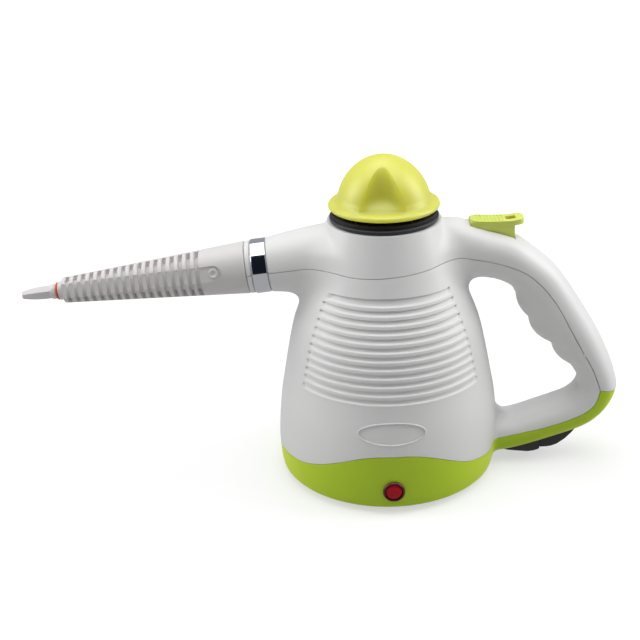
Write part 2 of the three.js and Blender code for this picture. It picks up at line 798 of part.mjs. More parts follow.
function jetTip() {
  const start = frontEnd + tipGap;
  const end = start + jetLength;
  const plugEnd = frontEnd - jetPlug + clearance;
  const outside = jetShares.map(([along, across]) => [across * jetRadius, start + along * jetLength]);
  const tip = turned([
    [steamBore * 0.75, plugEnd], [jetSocket - clearance, plugEnd], [jetSocket - clearance, start], ...outside,
    [steamBore * 0.75, end],
  ], coarse);
  const flat = block([jetRadius * 0.76, -far, start + 0.23 * jetLength], [far, far, end + overrun]);
  const sides = [30, 90, 150, 210, 270, 330].map((turn) => flat.rotate([0, 0, turn]));
  return tip.subtract(joined(sides));
}

// Filler collar on top of the shell: a slate flange, a black wall and the funnel inside it
const collarBottom = shellHeight + clearance;
const collarFlange = 2.3;
const collarTop = collarBottom + collarHeight;
const funnelPlay = 0.7;
const funnelBore = neckRadius + funnelPlay;
const funnelDip = 2.4;
const collarSkirt = 6;
const collarStep = 0.9;
const collarRim = 2.3;
const skirtPlay = 0.4;

function collar() {
  const wallRadius = collarRadius - collarStep;
  const lipRadius = wallRadius - collarRim;
  return turned([
    [collarHole - skirtPlay, collarBottom - collarSkirt], [collarHole - skirtPlay, collarBottom],
    [collarRadius, collarBottom], [collarRadius, collarBottom + collarFlange],
    [wallRadius, collarBottom + 1.2 * collarFlange], [wallRadius, collarTop],
    [lipRadius, collarTop], [lipRadius - collarStep, collarTop - collarRim],
    [funnelBore, collarBottom - funnelDip],
    [funnelBore, collarBottom - collarSkirt],
  ], fine);
}

// Boiler: cup, gasket and cover bolted through their flanges, with the filler neck on the cover
const gasketThickness = 2;
const coverFlange = boilerRim + gasketThickness + 2 * clearance;
const boltShift = 0.2;
const boltCircle = (boilerRadius + boilerFlange) / 2 + boltShift;
const boltRadius = 1.4;
const boltHead = 2.6;
const boltHeadHeight = 2.4;
const boltEnd = 1;
const gasketMargin = 2;

function boltHoles() {
  const hole = bar(boltRadius + clearance, boilerRim - 2 * flangeThickness, coverTop, 8);
  return joined(aroundAxis(hole.translate([boltCircle, 0, 0]), 4, 45));
}

function boilerCup() {
  const inner = boilerRadius - boilerWall;
  return turned([
    [0, boilerFloor], [0.85 * boilerRadius, boilerFloor], [boilerRadius, boilerFloor + 0.15 * boilerRadius],
    [boilerRadius, cupFlangeBottom], [boilerFlange, cupFlangeBottom], [boilerFlange, boilerRim],
    [inner, boilerRim], [inner, boilerFloor + 0.18 * boilerRadius],
    [0.8 * boilerRadius, boilerFloor + boilerWall],
    [0, boilerFloor + boilerWall],
  ], plain).subtract(boltHoles());
}

function boilerGasket() {
  const bottom = boilerRim + clearance;
  return tube(boilerRadius - boilerWall, boltCircle - gasketMargin, bottom, bottom + gasketThickness, plain);
}

function boilerCover() {
  const inner = boilerRadius - boilerWall;
  const top = coverFlange + flangeThickness;
  return turned([
    [inner, coverFlange], [boilerFlange, coverFlange], [boilerFlange, top], [0.98 * boilerRadius, top],
    [0.82 * boilerRadius, 0.55 * top + 0.45 * coverTop], [0.55 * boilerRadius, coverTop],
    [neckBore, coverTop], [neckBore, coverTop - boilerWall], [0.52 * boilerRadius, coverTop - boilerWall],
    [0.77 * boilerRadius, 0.58 * top + 0.42 * coverTop - boilerWall], [inner, top],
  ], plain).subtract(boltHoles());
}

function boilerBolt(turn) {
  const seat = coverFlange + flangeThickness + clearance;
  const head = bar(boltHead, seat, seat + boltHeadHeight, 6);
  const shank = bar(boltRadius, cupFlangeBottom - boltEnd, seat + boltEnd, 8);
  return head.add(shank).translate([boltCircle, 0, 0]).rotate([0, 0, turn]);
}

const neckDrop = 2.5;
const neckTop = collarBottom - neckDrop;
const neckFlange = 4;

function fillerNeck() {
  const bottom = coverTop + clearance;
  return turned([
    [neckBore, bottom], [neckRadius + neckFlange, bottom], [neckRadius + neckFlange, bottom + neckFlange],
    [neckRadius, bottom + neckFlange], [neckRadius, neckTop], [neckBore, neckTop],
  ], plain);
}

// Cap: the threaded insert with its seal and relief valve, and the sprung lime knob that turns it
const capSeat = collarTop + brimGap;
const sealBottom = neckTop + clearance - capSeat;
const sealThickness = 2;
const plugFlange = sealBottom + sealThickness + clearance;
const plugBottom = plugFlange - plugLength;
const plugPlay = 0.6;
const plugFlangeThickness = 1.7;
const capPush = 2;
const discThickness = 2.2;
const discTop = -capPush - 2 * clearance;
const discRoom = 1.6;
const discRadius = domeRadius - wall - discRoom;
const stemRadius = 4;
const stemHead = 6.4;
const webThickness = 2.2;
const webTop = 12.6;
const stemTop = 16;
const reliefBore = 5;
const reliefLip = 3.6;
const reliefSeat = 1.4;
const reliefRoof = -8;

const cap = new THREE.Group();
cap.position.z = capSeat;
cap.rotation.z = radians(capTurn);
machine.add(cap);

function capInsert() {
  const lip = plugBottom + reliefSeat;
  const plugRadius = neckBore - plugPlay;
  const discBottom = discTop - discThickness;
  return turned([
    [reliefLip, plugBottom], [plugRadius, plugBottom], [plugRadius, plugFlange],
    [neckRadius - clearance, plugFlange], [neckRadius - clearance, plugFlange + plugFlangeThickness],
    [neckBore, plugFlange + 1.1 * plugFlangeThickness],
    [neckBore, discBottom], [discRadius, discBottom], [discRadius, discTop], [stemRadius, discTop],
    [stemRadius, webTop + clearance], [stemHead, webTop + clearance], [stemRadius, stemTop], [0, stemTop],
    [0, reliefRoof], [reliefBore, reliefRoof], [reliefBore, lip], [reliefLip, lip],
  ], plain);
}

function capSeal() {
  return tube(neckBore, neckRadius - clearance, sealBottom, sealBottom + sealThickness, plain);
}

const scoopRadius = 13.4;
const scoopReach = 29;
const scoopLean = 7;
const domeHeight = 30.6;
const stemPlay = 0.5;
const knobSides = 20;

function scoops(grow) {
  const one = bar(scoopRadius + grow, brimHeight - grow, 2 * domeHeight, medium)
    .translate([0, 0, -brimHeight]).rotate([-scoopLean, 0, 0]).translate([0, -scoopReach, brimHeight]);
  return one.add(one.mirror([0, 1, 0]));
}

function dome(radius, start, rings) {
  const points = [];
  const first = Math.asin(Math.max((start - (domeHeight - domeRadius)) / radius, 0));
  for (let i = 0; i <= rings; i += 1) {
    const rise = first + ((Math.PI / 2 - first) * i) / rings;
    const across = i === rings ? 0 : radius * Math.cos(rise);
    points.push([across, domeHeight - domeRadius + radius * Math.sin(rise)]);
  }
  return points;
}

function capKnob() {
  const lip = brimHeight / 3;
  const outside = turned([
    [0, 0], [brimRadius - lip, 0], [brimRadius, lip], [brimRadius, 2 * lip], [brimRadius - lip, brimHeight],
    ...dome(domeRadius, brimHeight, 5),
  ], knobSides);
  const bore = domeRadius - wall;
  const inside = turned([[0, -overrun], [bore, -overrun], ...dome(bore, 0, 4)], coarse);
  const space = inside.subtract(scoops(wall));
  const web = tube(stemRadius + stemPlay, domeRadius, webTop - webThickness, webTop).intersect(outside);
  return outside.subtract(space).subtract(scoops(0)).add(web.subtract(scoops(wall / 2)));
}

const plungerEnd = 0.6;
const plungerPlay = 0.4;
const plungerHead = 1.6;
const plungerGuide = 1.4;
const guideLength = 3.4;

function reliefPlunger() {
  const seat = plugBottom + reliefSeat + clearance;
  const head = seat + plungerHead;
  const nose = reliefLip - plungerPlay;
  const bottom = plugBottom - plungerEnd;
  return turned([
    [0, bottom], [nose, bottom], [nose, seat], [reliefBore - plungerPlay, seat],
    [reliefBore - plungerPlay, head],
    [plungerGuide, head], [plungerGuide, head + guideLength], [0, head + guideLength],
  ], coarse);
}

// Trigger: a ribbed pad over a wedge that enters the shell, turning on a pin at its front end. The outlines
// are shares of its length, measured from the pin
const padTopShares = [
  [0.127, 0.273], [0.248, 0.264], [0.496, 0.229], [0.744, 0.212], [0.909, 0.222], [1, 0.226],
];
const wedgeShares = [
  [-0.088, -0.028], [-0.039, -0.083], [0.044, -0.083], [0.33, -0.171], [0.843, -0.303], [0.843, 0.171],
  [0.5, 0.193], [0.127, 0.237], [0.121, 0.063], [-0.044, 0.063],
];
const padThickness = 0.066 * triggerLength;
const padLevel = 0.207 * triggerLength;

const triggerGroup = new THREE.Group();
triggerGroup.position.set(pinX, 0, pinZ);
machine.add(triggerGroup);

const lockStart = 0.705 * triggerLength;
const lockEnd = 0.865 * triggerLength;
const lockHalfWidth = 2.5;
const lockDepth = 1.9;
const sliderLength = 3.4;
const ridgeCount = 8;
const ridgeStart = 0.193 * triggerLength;
const ridgePitch = 0.058 * triggerLength;
const ridgeGap = 0.8;
const ridgeDepth = 0.4;
const padCrest = 0.286 * triggerLength;
const padSlope = 0.12;

function ofTrigger(shares) {
  return shares.map(([x, z]) => [x * triggerLength, z * triggerLength]);
}

function trigger() {
  const top = ofTrigger(padTopShares);
  const under = top.map(([x, z], i) => [x, z - (i === 0 ? 0.63 * padThickness : padThickness)]);
  const pad = sidePlate([...top, ...under.reverse()], triggerWidth);
  const wedge = sidePlate(ofTrigger(wedgeShares), skirtWidth);
  const ridges = [];
  for (let i = 0; i < ridgeCount; i += 1) {
    const x = ridgeStart + i * ridgePitch;
    const bottom = padCrest - padSlope * x - ridgeDepth;
    ridges.push(block([x, -triggerWidth, bottom], [x + ridgeGap, triggerWidth, triggerLength]));
  }
  const pin = bar(pinRadius + clearance, -bodyRadius, bodyRadius, coarse).rotate([90, 0, 0]);
  const slotFloor = padLevel - lockDepth;
  const slot = block([lockStart, -lockHalfWidth, slotFloor], [lockEnd, lockHalfWidth, triggerLength]);
  return pad.add(wedge).subtract(joined(ridges)).subtract(pin).subtract(slot);
}

function lockSlider() {
  const bottom = padLevel - lockDepth + clearance;
  const end = lockEnd - clearance;
  const half = lockHalfWidth - clearance;
  return block([end - sliderLength, -half, bottom], [end, half, bottom + lockDepth]);
}

function triggerPin() {
  return bar(pinRadius, -skirtWidth / 2 - earThickness, skirtWidth / 2 + earThickness).rotate([90, 0, 0]);
}

// Spring under the rear of the trigger, standing on a post of the lower shell
const springX = pinX + 0.66 * triggerLength;
const springRadius = 3.2;
const springWire = 0.8;
const springBottom = pinZ - 0.606 * triggerLength;
const springTop = pinZ - 0.292 * triggerLength;
const springPost = 14;
const postMargin = 1;

function springSeat() {
  const post = bar(springRadius + postMargin, springBottom - springPost, springBottom - clearance);
  return post.translate([springX, 0, 0]).intersect(handleLoft(wall / 2));
}

// Steam valve in the root of the handle: body, sprung stem under the trigger, and the two steam pipes
const valveX = pinX + 0.33 * triggerLength;
const valveRadius = 6;
const valveRoom = 2.2;
const gripFloorShare = 0.766;
const valveBottom = gripFloorShare * shellHeight + wall + valveRoom;
const stemTip = pinZ - 0.193 * triggerLength;
const valveSpan = stemTip - valveBottom;
const valveTop = valveBottom + 0.46 * valveSpan;
const valveBevel = 1.4;
const valveFloor = 1.6;
const valveBore = 1.9;
const valveRod = 1.5;
const stemDepth = 0.24 * valveSpan;
const stemCollar = 3.4;
const collarUnder = stemTip - 0.224 * valveSpan;
const pipeRadius = 2;

function valveBody() {
  return turned([
    [0, valveBottom], [valveRadius, valveBottom], [valveRadius, valveTop - valveBevel],
    [valveRadius - valveBevel, valveTop], [valveBore, valveTop], [valveBore, valveBottom + valveFloor],
    [0, valveBottom + valveFloor],
  ]).translate([valveX, 0, 0]);
}

function valveStem() {
  const crest = collarUnder + valveBevel;
  return turned([
    [0, valveTop - stemDepth], [valveRod, valveTop - stemDepth], [valveRod, collarUnder],
    [stemCollar, collarUnder],
    [stemCollar, crest], [valveRod, crest], [valveRod, stemTip], [0, stemTip],
  ], coarse).translate([valveX, 0, 0]);
}

const pipeLevel = (valveBottom + valveTop) / 2 - pipeRadius / 2;

function pickupPipe() {
  const start = 0.62 * boilerRadius;
  return routed([
    [start, 0, coverTop + clearance], [start, 0, coverTop + 2 * pipeRadius],
    [start + 2 * pipeRadius, 0, pipeLevel - 0.75 * pipeRadius], [start + 5 * pipeRadius, 0, pipeLevel],
    [valveX - valveRadius - clearance, 0, pipeLevel],
  ], pipeRadius, 6, 12);
}

// The steam pipe leaves the valve sideways and runs round the neck to the spigot
const neckRoom = 7;
const steamRouteShares = [[0.85, -0.6, 1], [0, -1, 2.25], [-0.75, -0.72, 3]];

function steamPipe() {
  const round = neckRadius + neckRoom;
  const back = new THREE.Vector3(0, 0, spigotBack - clearance).applyMatrix4(spoutLine.matrix);
  const lead = new THREE.Vector3(0, 0, spigotBack - 4 * pipeRadius).applyMatrix4(spoutLine.matrix);
  const side = valveRadius + clearance;
  const loop = steamRouteShares.map(([x, y, up]) => [x * round, y * round, pipeLevel + up * pipeRadius]);
  return routed([
    [valveX - 0.7 * side, -0.7 * side, pipeLevel], [valveX - side, -side, pipeLevel],
    [valveX - 2 * side, -1.3 * side, pipeLevel], [valveX - 3 * side, -1.4 * side, pipeLevel + pipeRadius / 2],
    ...loop, [lead.x, 0, lead.z], [back.x, 0, back.z],
  ], pipeRadius, 6, 22);
}

// Heating element under the cup: an open ring with its two ends turned down, and the thermostat inside it
const elementRadius = 3.6;
const elementCircle = 0.62 * boilerRadius;
const elementLevel = boilerFloor - clearance - elementRadius;
const elementGap = 25;

function heatingElement() {
  const points = [];
  for (let turn = elementGap; turn <= 360 - elementGap; turn += 31) {
    const angle = radians(turn);
    points.push([elementCircle * Math.cos(angle), elementCircle * Math.sin(angle), elementLevel]);
  }
  return routed(points, elementRadius, 6, 18);
}

const thermostatRadius = 9;
const thermostatHeight = 7;

function thermostat() {
  const top = boilerFloor - clearance;
  return turned([
    [0, top - thermostatHeight], [0.7 * thermostatRadius, top - thermostatHeight],
    [0.7 * thermostatRadius, top - 0.5 * thermostatHeight], [thermostatRadius, top - 0.4 * thermostatHeight],
    [thermostatRadius, top], [0, top],
  ], coarse);
}

const fuseRadius = 2.2;
const fuseLength = 14;

function thermalFuse() {
  const fuse = bar(fuseRadius, -fuseLength / 2, fuseLength / 2, 8).rotate([90, 0, 0]);
  return fuse.translate([-(boilerRadius + clearance + fuseRadius), 0, (boilerRim + boilerFloor) / 2]);
}

// Terminal block on the floor of the base, and the leads that run from it
const blockLength = 26;
const blockWidth = 13;
const blockHeight = 0.29 * boilerFloor;
const blockX = -0.382 * bodyRadius;
const blockY = 0.324 * bodyRadius;
const wayRadius = 2.2;
const wayPitch = 8.1;
const baseFloor = footHeight + wall;
const leadRadius = 1.3;
const leadRise = 0.13 * boilerFloor;

function terminalBlock() {
  const bottom = baseFloor + clearance;
  const low = [-blockLength / 2, -blockWidth / 2, bottom];
  const body = block(low, [blockLength / 2, blockWidth / 2, bottom + blockHeight]);
  const way = bar(wayRadius, bottom + blockHeight / 2, far, 8);
  const ways = [-1, 0, 1].map((i) => way.translate([i * wayPitch, 0, 0]));
  return body.subtract(joined(ways)).translate([blockX, blockY, 0]);
}

// Top of one way of the block, where a lead goes in
function blockWay(i) {
  return [blockX + i * wayPitch, blockY, baseFloor + 1.05 * blockHeight];
}

function elementLead() {
  const turn = radians(-elementGap);
  const level = elementLevel - elementRadius - clearance;
  const end = [elementCircle * Math.cos(turn), elementCircle * Math.sin(turn), level];
  const [x, y, z] = blockWay(1);
  const top = z + 1.2 * leadRise;
  return routed([
    [x, y, z], [x, y, z + leadRise], [x + 0.5 * blockLength, 0, top], [end[0] - leadRise, end[1], top], end,
  ], leadRadius, 5, 12);
}

function lampLead() {
  const [x, y, z] = blockWay(0);
  const end = [0, -(bodyRadius - lampLength - clearance), lampHeight];
  return routed([
    [x, y, z], [x, y, z + 0.8 * leadRise], [x + 0.4 * blockLength, 0, z + 0.6 * leadRise],
    [0, end[1] + 1.6 * leadRise, lampHeight], end,
  ], leadRadius, 5, 12);
}

function mainsLead() {
  const [x, y, z] = blockWay(-1);
  const share = (padEndShare + glandEndShare) / 2;
  const startX = reachAt(share);
  const startZ = armEdge(share) + wall;
  return routed([
    [startX, 0, startZ], [startX, 0, startZ + leadRise], [startX - 3 * leadRise, 0, startZ + leadRise],
    [bodyRadius, 0, startZ + leadRise / 5], [0.3 * bodyRadius, 0.38 * bodyRadius, z + leadRise],
    [x, y, z + 1.2 * leadRise], [x, y, z],
  ], 1.5 * leadRadius, 5, 20);
}

// Pilot lamp in the front of the base: bezel, lens and holder
const bezelRadius = 6.5;
const bezelProud = 1.2;
const bezelSeat = 0.2;
const bezelDepth = 6;
const bezelBevel = 0.4;
const lensRadius = 4.9;
const lensDepth = 7;
const lampLength = 20;
const holderHead = 4;
const holderStep = 0.8;

function lampPart(outline, sides = coarse) {
  return turned(outline, sides).rotate([90, 0, 0]).translate([0, 0, lampHeight]);
}

function lampBezel() {
  const face = bodyRadius + clearance + bezelSeat;
  return lampPart([
    [lensRadius + clearance, face - bezelDepth], [lampHole - clearance, face - bezelDepth],
    [lampHole - clearance, face], [bezelRadius, face], [bezelRadius - bezelBevel, face + bezelProud],
    [lensRadius + clearance, face + bezelProud],
  ], plain);
}

function lampLens() {
  const face = bodyRadius + bezelProud;
  return lampPart([
    [0, face - lensDepth], [lensRadius, face - lensDepth], [lensRadius, face],
    [0.6 * lensRadius, face + 0.8 * bezelProud],
    [0, face + bezelProud],
  ], plain);
}

function lampHolder() {
  const back = bodyRadius - lampLength;
  const front = bodyRadius + bezelProud - lensDepth - clearance;
  return lampPart([
    [0, back], [lensRadius - holderStep, back], [lensRadius - holderStep, front - holderHead],
    [lensRadius + holderStep, front - holderHead], [lensRadius + holderStep, front], [0, front],
  ]);
}

piece('upper_shell', upperShell(), white);
piece('lower_shell', lowerShell(), white);
piece('base', base(), lime);
for (let i = 0; i < 4; i += 1) {
  const screw = baseScrew().translate([bossCircle, 0, 0]).rotate([0, 0, 45 + 90 * i]);
  piece(`base_screw_${i + 1}`, screw, steel);
}
for (let i = 0; i < footCount; i += 1) {
  const foot = rubberFoot().translate([footCircle, 0, 0]).rotate([0, 0, (360 * i) / footCount]);
  piece(`rubber_foot_${i + 1}`, foot, rubber);
}
piece('heel_pad', heelPad(), black);
piece('cord_gland', cordGland(), black);

piece('chrome_ring', chromeRing(), chrome, spoutLine);
piece('spigot', spigot(), black, spoutLine);
const sealStart = grooveStart + clearance;
const sealEnd = grooveEnd - clearance;
const spigotSeal = ringSeal(grooveRadius + clearance, spigotRadius + clearance, sealStart, sealEnd, plain);
piece('spigot_seal', spigotSeal, orangeRubber, spoutLine);
const nozzleLine = new THREE.Group();
nozzleLine.rotation.z = radians(nozzleTurn);
spoutLine.add(nozzleLine);
piece('nozzle', nozzle(), greyWhite, nozzleLine);
const jetSealEnd = frontEnd + tipGap - clearance;
const jetSeal = ringSeal(jetSocket, frontRadius + clearance, frontEnd + clearance, jetSealEnd, coarse);
piece('jet_seal', jetSeal, orangeRubber, nozzleLine);
piece('jet_tip', jetTip(), greyWhite, nozzleLine);

piece('collar', collar(), black);
piece('boiler_cup', boilerCup(), castAluminium);
piece('boiler_gasket', boilerGasket(), orangeRubber);
piece('boiler_cover', boilerCover(), castAluminium);
for (let i = 0; i < 4; i += 1) {
  piece(`boiler_bolt_${i + 1}`, boilerBolt(45 + 90 * i), steel);
}
piece('filler_neck', fillerNeck(), brass);

piece('cap_insert', capInsert(), black, cap);
piece('cap_seal', capSeal(), rubber, cap);
piece('cap_knob', capKnob(), capLime, cap);
const capSpringRadius = 7;
const capSpringWire = 1;
const capSpringTop = webTop - webThickness - clearance;
const capSpring = coilSpring(capSpringRadius, capSpringWire, discTop + clearance, capSpringTop, 3);
piece('cap_spring', capSpring, steel, cap);
piece('relief_plunger', reliefPlunger(), brass, cap);
const reliefSpringRadius = 3;
const reliefSpringWire = 0.7;
const reliefSpringBottom = plugBottom + reliefSeat + plungerHead + 2 * clearance;
const reliefSpringTop = reliefRoof - clearance;
const reliefSpring = coilSpring(reliefSpringRadius, reliefSpringWire, reliefSpringBottom, reliefSpringTop, 3);
piece('relief_spring', reliefSpring, steel, cap);

piece('trigger', trigger(), lime, triggerGroup);
piece('lock_slider', lockSlider(), orange, triggerGroup);
piece('trigger_pin', triggerPin(), steel, triggerGroup);

const triggerSpring = coilSpring(springRadius, springWire, springBottom, springTop, 3);
piece('trigger_spring', triggerSpring.translate(springX, 0, 0), steel);
piece('valve_body', valveBody(), brass);
piece('valve_stem', valveStem(), steel);
const valveSpringRadius = 2.8;
const valveSpringWire = 0.6;
const valveSpringTop = collarUnder - clearance;
const valveSpring = coilSpring(valveSpringRadius, valveSpringWire, valveTop + clearance, valveSpringTop, 3);
piece('valve_spring', valveSpring.translate(valveX, 0, 0), steel);
piece('pickup_pipe', pickupPipe(), brass);
piece('steam_pipe', steamPipe(), brass);

piece('heating_element', heatingElement(), steel);
piece('thermostat', thermostat(), ceramicWhite);
piece('thermal_fuse', thermalFuse(), ceramicWhite);
piece('terminal_block', terminalBlock(), ceramicWhite);
piece('element_lead', elementLead(), black);
piece('lamp_lead', lampLead(), orange);
piece('mains_lead', mainsLead(), black);
piece('lamp_bezel', lampBezel(), redLens);
piece('lamp_lens', lampLens(), redLens);
piece('lamp_holder', lampHolder(), ceramicWhite);

// The origin lies under the middle of the whole object
const jetEnd = frontEnd + tipGap + jetLength;
const tipRadius = jetShares.at(-1)[1] * jetRadius;
const tipReach = jetEnd * Math.cos(radians(spoutTilt)) + tipRadius * Math.sin(radians(spoutTilt));
machine.position.x = (tipReach - handleReach) / 2;

export default machine;
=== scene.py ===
import json
import math

import bmesh
import bpy
import numpy as np
from mathutils import Matrix, Vector

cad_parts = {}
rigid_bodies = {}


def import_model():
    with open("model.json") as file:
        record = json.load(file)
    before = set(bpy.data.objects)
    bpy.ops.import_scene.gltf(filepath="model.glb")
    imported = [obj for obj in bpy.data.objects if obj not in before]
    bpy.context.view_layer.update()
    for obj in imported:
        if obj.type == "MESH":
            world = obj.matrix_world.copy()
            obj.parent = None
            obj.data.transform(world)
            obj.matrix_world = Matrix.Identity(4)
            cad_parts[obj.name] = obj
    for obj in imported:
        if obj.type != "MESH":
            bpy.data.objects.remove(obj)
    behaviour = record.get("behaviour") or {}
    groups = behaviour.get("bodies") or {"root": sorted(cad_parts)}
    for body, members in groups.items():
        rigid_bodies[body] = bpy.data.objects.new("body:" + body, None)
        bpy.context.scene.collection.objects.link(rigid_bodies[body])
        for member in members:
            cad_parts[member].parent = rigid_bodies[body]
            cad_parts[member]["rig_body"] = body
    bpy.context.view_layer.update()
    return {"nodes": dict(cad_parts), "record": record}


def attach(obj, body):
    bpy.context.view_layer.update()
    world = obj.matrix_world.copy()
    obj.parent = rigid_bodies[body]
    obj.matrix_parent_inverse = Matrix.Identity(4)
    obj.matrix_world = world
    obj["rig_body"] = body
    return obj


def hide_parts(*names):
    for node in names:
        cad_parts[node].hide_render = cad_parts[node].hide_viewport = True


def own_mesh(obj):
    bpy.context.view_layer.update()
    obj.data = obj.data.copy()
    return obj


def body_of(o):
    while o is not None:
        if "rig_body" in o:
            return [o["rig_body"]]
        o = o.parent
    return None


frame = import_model()

# The photographer's camera: a normal lens at arm's length from the machine, a little above it and looking down
# at it by 24 degrees, rolled by two degrees. It was fitted to the outline of the real machine.
camera_data = bpy.data.cameras.new("camera")
camera_data.sensor_width = 36.0
camera_data.lens = 64.82
camera_data.clip_start = 0.01
camera = bpy.data.objects.new("camera", camera_data)
bpy.context.scene.collection.objects.link(camera)
camera_right = Vector((0.9993392, -0.00792397, -0.03547361))
camera_up = Vector((0.03562284, 0.40746842, 0.91252424))
camera_back = Vector((0.00722357, -0.91318492, 0.40748144))
camera.matrix_world = Matrix.Translation((0.00294, -0.6455, 0.3861)) @ Matrix(
    (camera_right, camera_up, camera_back)
).transposed().to_4x4()
bpy.context.scene.camera = camera
bpy.context.scene.view_settings.view_transform = "Standard"

# The studio: a white sweep of paper under a broad lamp that hangs above and behind the machine, with a weaker one
# to each side, so the top is bright and the front and the underside are soft grey. Polished metal sees the white
# ceiling, a black card beside the camera and the grey paper below, as in such photographs.
world = bpy.data.worlds.new("studio")
bpy.context.scene.world = world
world.use_nodes = True
sky = world.node_tree
sky.nodes.clear()


def wire(tree, kind, *feeds, **settings):
    """Adds a node, sets its settings, and feeds its inputs in order with sockets or values."""
    node = tree.nodes.new(kind)
    for name, value in settings.items():
        setattr(node, name, value)
    for place, feed in enumerate(feeds):
        if isinstance(feed, bpy.types.NodeSocket):
            tree.links.new(feed, node.inputs[place])
        elif feed is not None:
            node.inputs[place].default_value = feed
    return node


def set_bands(ramp, bands):
    """Hard-edged bands of colour along a ramp, each given by its start and its colour."""
    ramp.interpolation = "CONSTANT"
    for start, colour in bands[2:]:
        ramp.elements.new(start)
    for element, (start, colour) in zip(ramp.elements, bands):
        element.position, element.color = start, (*colour, 1)


def ray_kinds(tree):
    """The kinds of ray, and a mask of those that the camera sees by straight or through glass."""
    rays = wire(tree, "ShaderNodeLightPath").outputs
    return rays, wire(tree, "ShaderNodeMath", rays["Is Camera Ray"], rays["Is Transmission Ray"], operation="MAXIMUM")


black_card, room_grey = (0.008, 0.011, 0.018), (0.37, 0.40, 0.44)
sky_rays, sky_clear = ray_kinds(sky)
sky_way = wire(sky, "ShaderNodeTexCoord")
sky_split = wire(sky, "ShaderNodeSeparateXYZ", sky_way.outputs["Generated"])
sky_near = wire(sky, "ShaderNodeMath", sky_split.outputs["Y"], -1.0, operation="MULTIPLY")
sky_angle = wire(sky, "ShaderNodeMath", sky_split.outputs["Z"], sky_near.outputs[0], operation="ARCTAN2")
sky_turn = wire(sky, "ShaderNodeMapRange", sky_angle.outputs[0], -math.pi, math.pi, 0.0, 1.0)
sky_card = wire(sky, "ShaderNodeValToRGB", sky_turn.outputs[0])
set_bands(sky_card.color_ramp, [
    (0.0, room_grey), (0.067, (0.45, 0.45, 0.46)), (0.461, black_card), (0.678, (1.0, 1.0, 1.0)), (0.861, room_grey),
])
sky_light = wire(sky, "ShaderNodeMixRGB", sky_clear.outputs[0], (0.23, 0.23, 0.235, 1), (1, 1, 1, 1))
sky_seen = wire(sky, "ShaderNodeMixRGB", sky_rays["Is Glossy Ray"], sky_light.outputs[0], sky_card.outputs[0])
sky_glow = wire(sky, "ShaderNodeBackground", sky_seen.outputs[0], 1.0)
wire(sky, "ShaderNodeOutputWorld", sky_glow.outputs[0])
machine_middle = Vector((0, 0, 0.1))


def studio_lamp(name, place, size, power):
    """A rectangular lamp that points at the machine's middle."""
    data = bpy.data.lights.new(name, "AREA")
    data.shape = "RECTANGLE"
    data.size, data.size_y = size
    data.energy = power
    lamp = bpy.data.objects.new(name, data)
    bpy.context.scene.collection.objects.link(lamp)
    aim = machine_middle - Vector(place)
    lamp.matrix_world = Matrix.Translation(place) @ aim.to_track_quat("-Z", "Y").to_matrix().to_4x4()


studio_lamp("lamp_above", (0.05, 0.05, 1.5), (2.0, 1.6), 18.0)
studio_lamp("lamp_right", (1.2, 0.1, 0.6), (0.7, 1.0), 8.0)
studio_lamp("lamp_left", (-1.2, 0.1, 0.6), (0.7, 1.0), 8.0)


def solid_of(bm, name):
    """A new object in the scene from a form."""
    mesh = bpy.data.meshes.new(name)
    bm.to_mesh(mesh)
    bm.free()
    thing = bpy.data.objects.new(name, mesh)
    bpy.context.scene.collection.objects.link(thing)
    return thing


floor_bm = bmesh.new()
bmesh.ops.create_circle(floor_bm, cap_ends=True, radius=40.0, segments=64)
floor = solid_of(floor_bm, "floor")
paper = bpy.data.materials.new("studio_paper")
paper.use_nodes = True
sheet = paper.node_tree
sheet.nodes.clear()
paper_rays, paper_clear = ray_kinds(sheet)
paper_place = wire(sheet, "ShaderNodeTexCoord")
paper_split = wire(sheet, "ShaderNodeSeparateXYZ", paper_place.outputs["Object"])
paper_near = wire(sheet, "ShaderNodeMath", paper_split.outputs["Y"], -0.5, operation="GREATER_THAN")
paper_card = wire(sheet, "ShaderNodeMixRGB", paper_near.outputs[0], (*black_card, 1), (0.46, 0.46, 0.47, 1))
paper_far = wire(sheet, "ShaderNodeVectorMath", paper_place.outputs["Object"], operation="LENGTH")
paper_white = wire(sheet, "ShaderNodeMapRange", paper_far.outputs["Value"], 0.3, 1.1, 0.55, 1.0)
paper_lift = wire(sheet, "ShaderNodeMath", paper_clear.outputs[0], paper_white.outputs[0], operation="MULTIPLY")
paper_glow = wire(sheet, "ShaderNodeEmission", (1, 1, 1, 1), paper_lift.outputs[0])
paper_matt = wire(sheet, "ShaderNodeBsdfDiffuse", (0.5, 0.5, 0.5, 1))
paper_lit = wire(sheet, "ShaderNodeAddShader", paper_matt.outputs[0], paper_glow.outputs[0])
paper_mirrored = wire(sheet, "ShaderNodeEmission", paper_card.outputs[0], 1.0)
paper_mix = wire(sheet, "ShaderNodeMixShader", paper_rays["Is Glossy Ray"], paper_lit.outputs[0],
                 paper_mirrored.outputs[0])
wire(sheet, "ShaderNodeOutputMaterial", paper_mix.outputs[0])
floor.data.materials.append(paper)

# Housing, form: an upright barrel, a spout to the left and a loop handle to the right, moulded in ABS as one
# outline that three parts share. The three forms are joined, and the corners between them are filled out
# to soft hollows, as the mould has them.
mm = 0.001
axis_x = 37.93619 * mm
reach, height, foot, body_radius, side_shift = 144.0, 162.7, 2.5, 68.0, 0.65
barrel_shares = [
    (0.929, 0.0), (0.984, 0.019), (0.997, 0.06), (1.003, 0.13), (0.998, 0.205), (0.98, 0.29), (0.942, 0.38),
    (0.895, 0.485), (0.835, 0.597), (0.755, 0.689), (0.665, 0.78), (0.6, 0.86), (0.55, 0.93), (0.497, 1.0),
]
barrel_line = np.array([(a * body_radius, foot + b * (height - foot)) for a, b in barrel_shares])


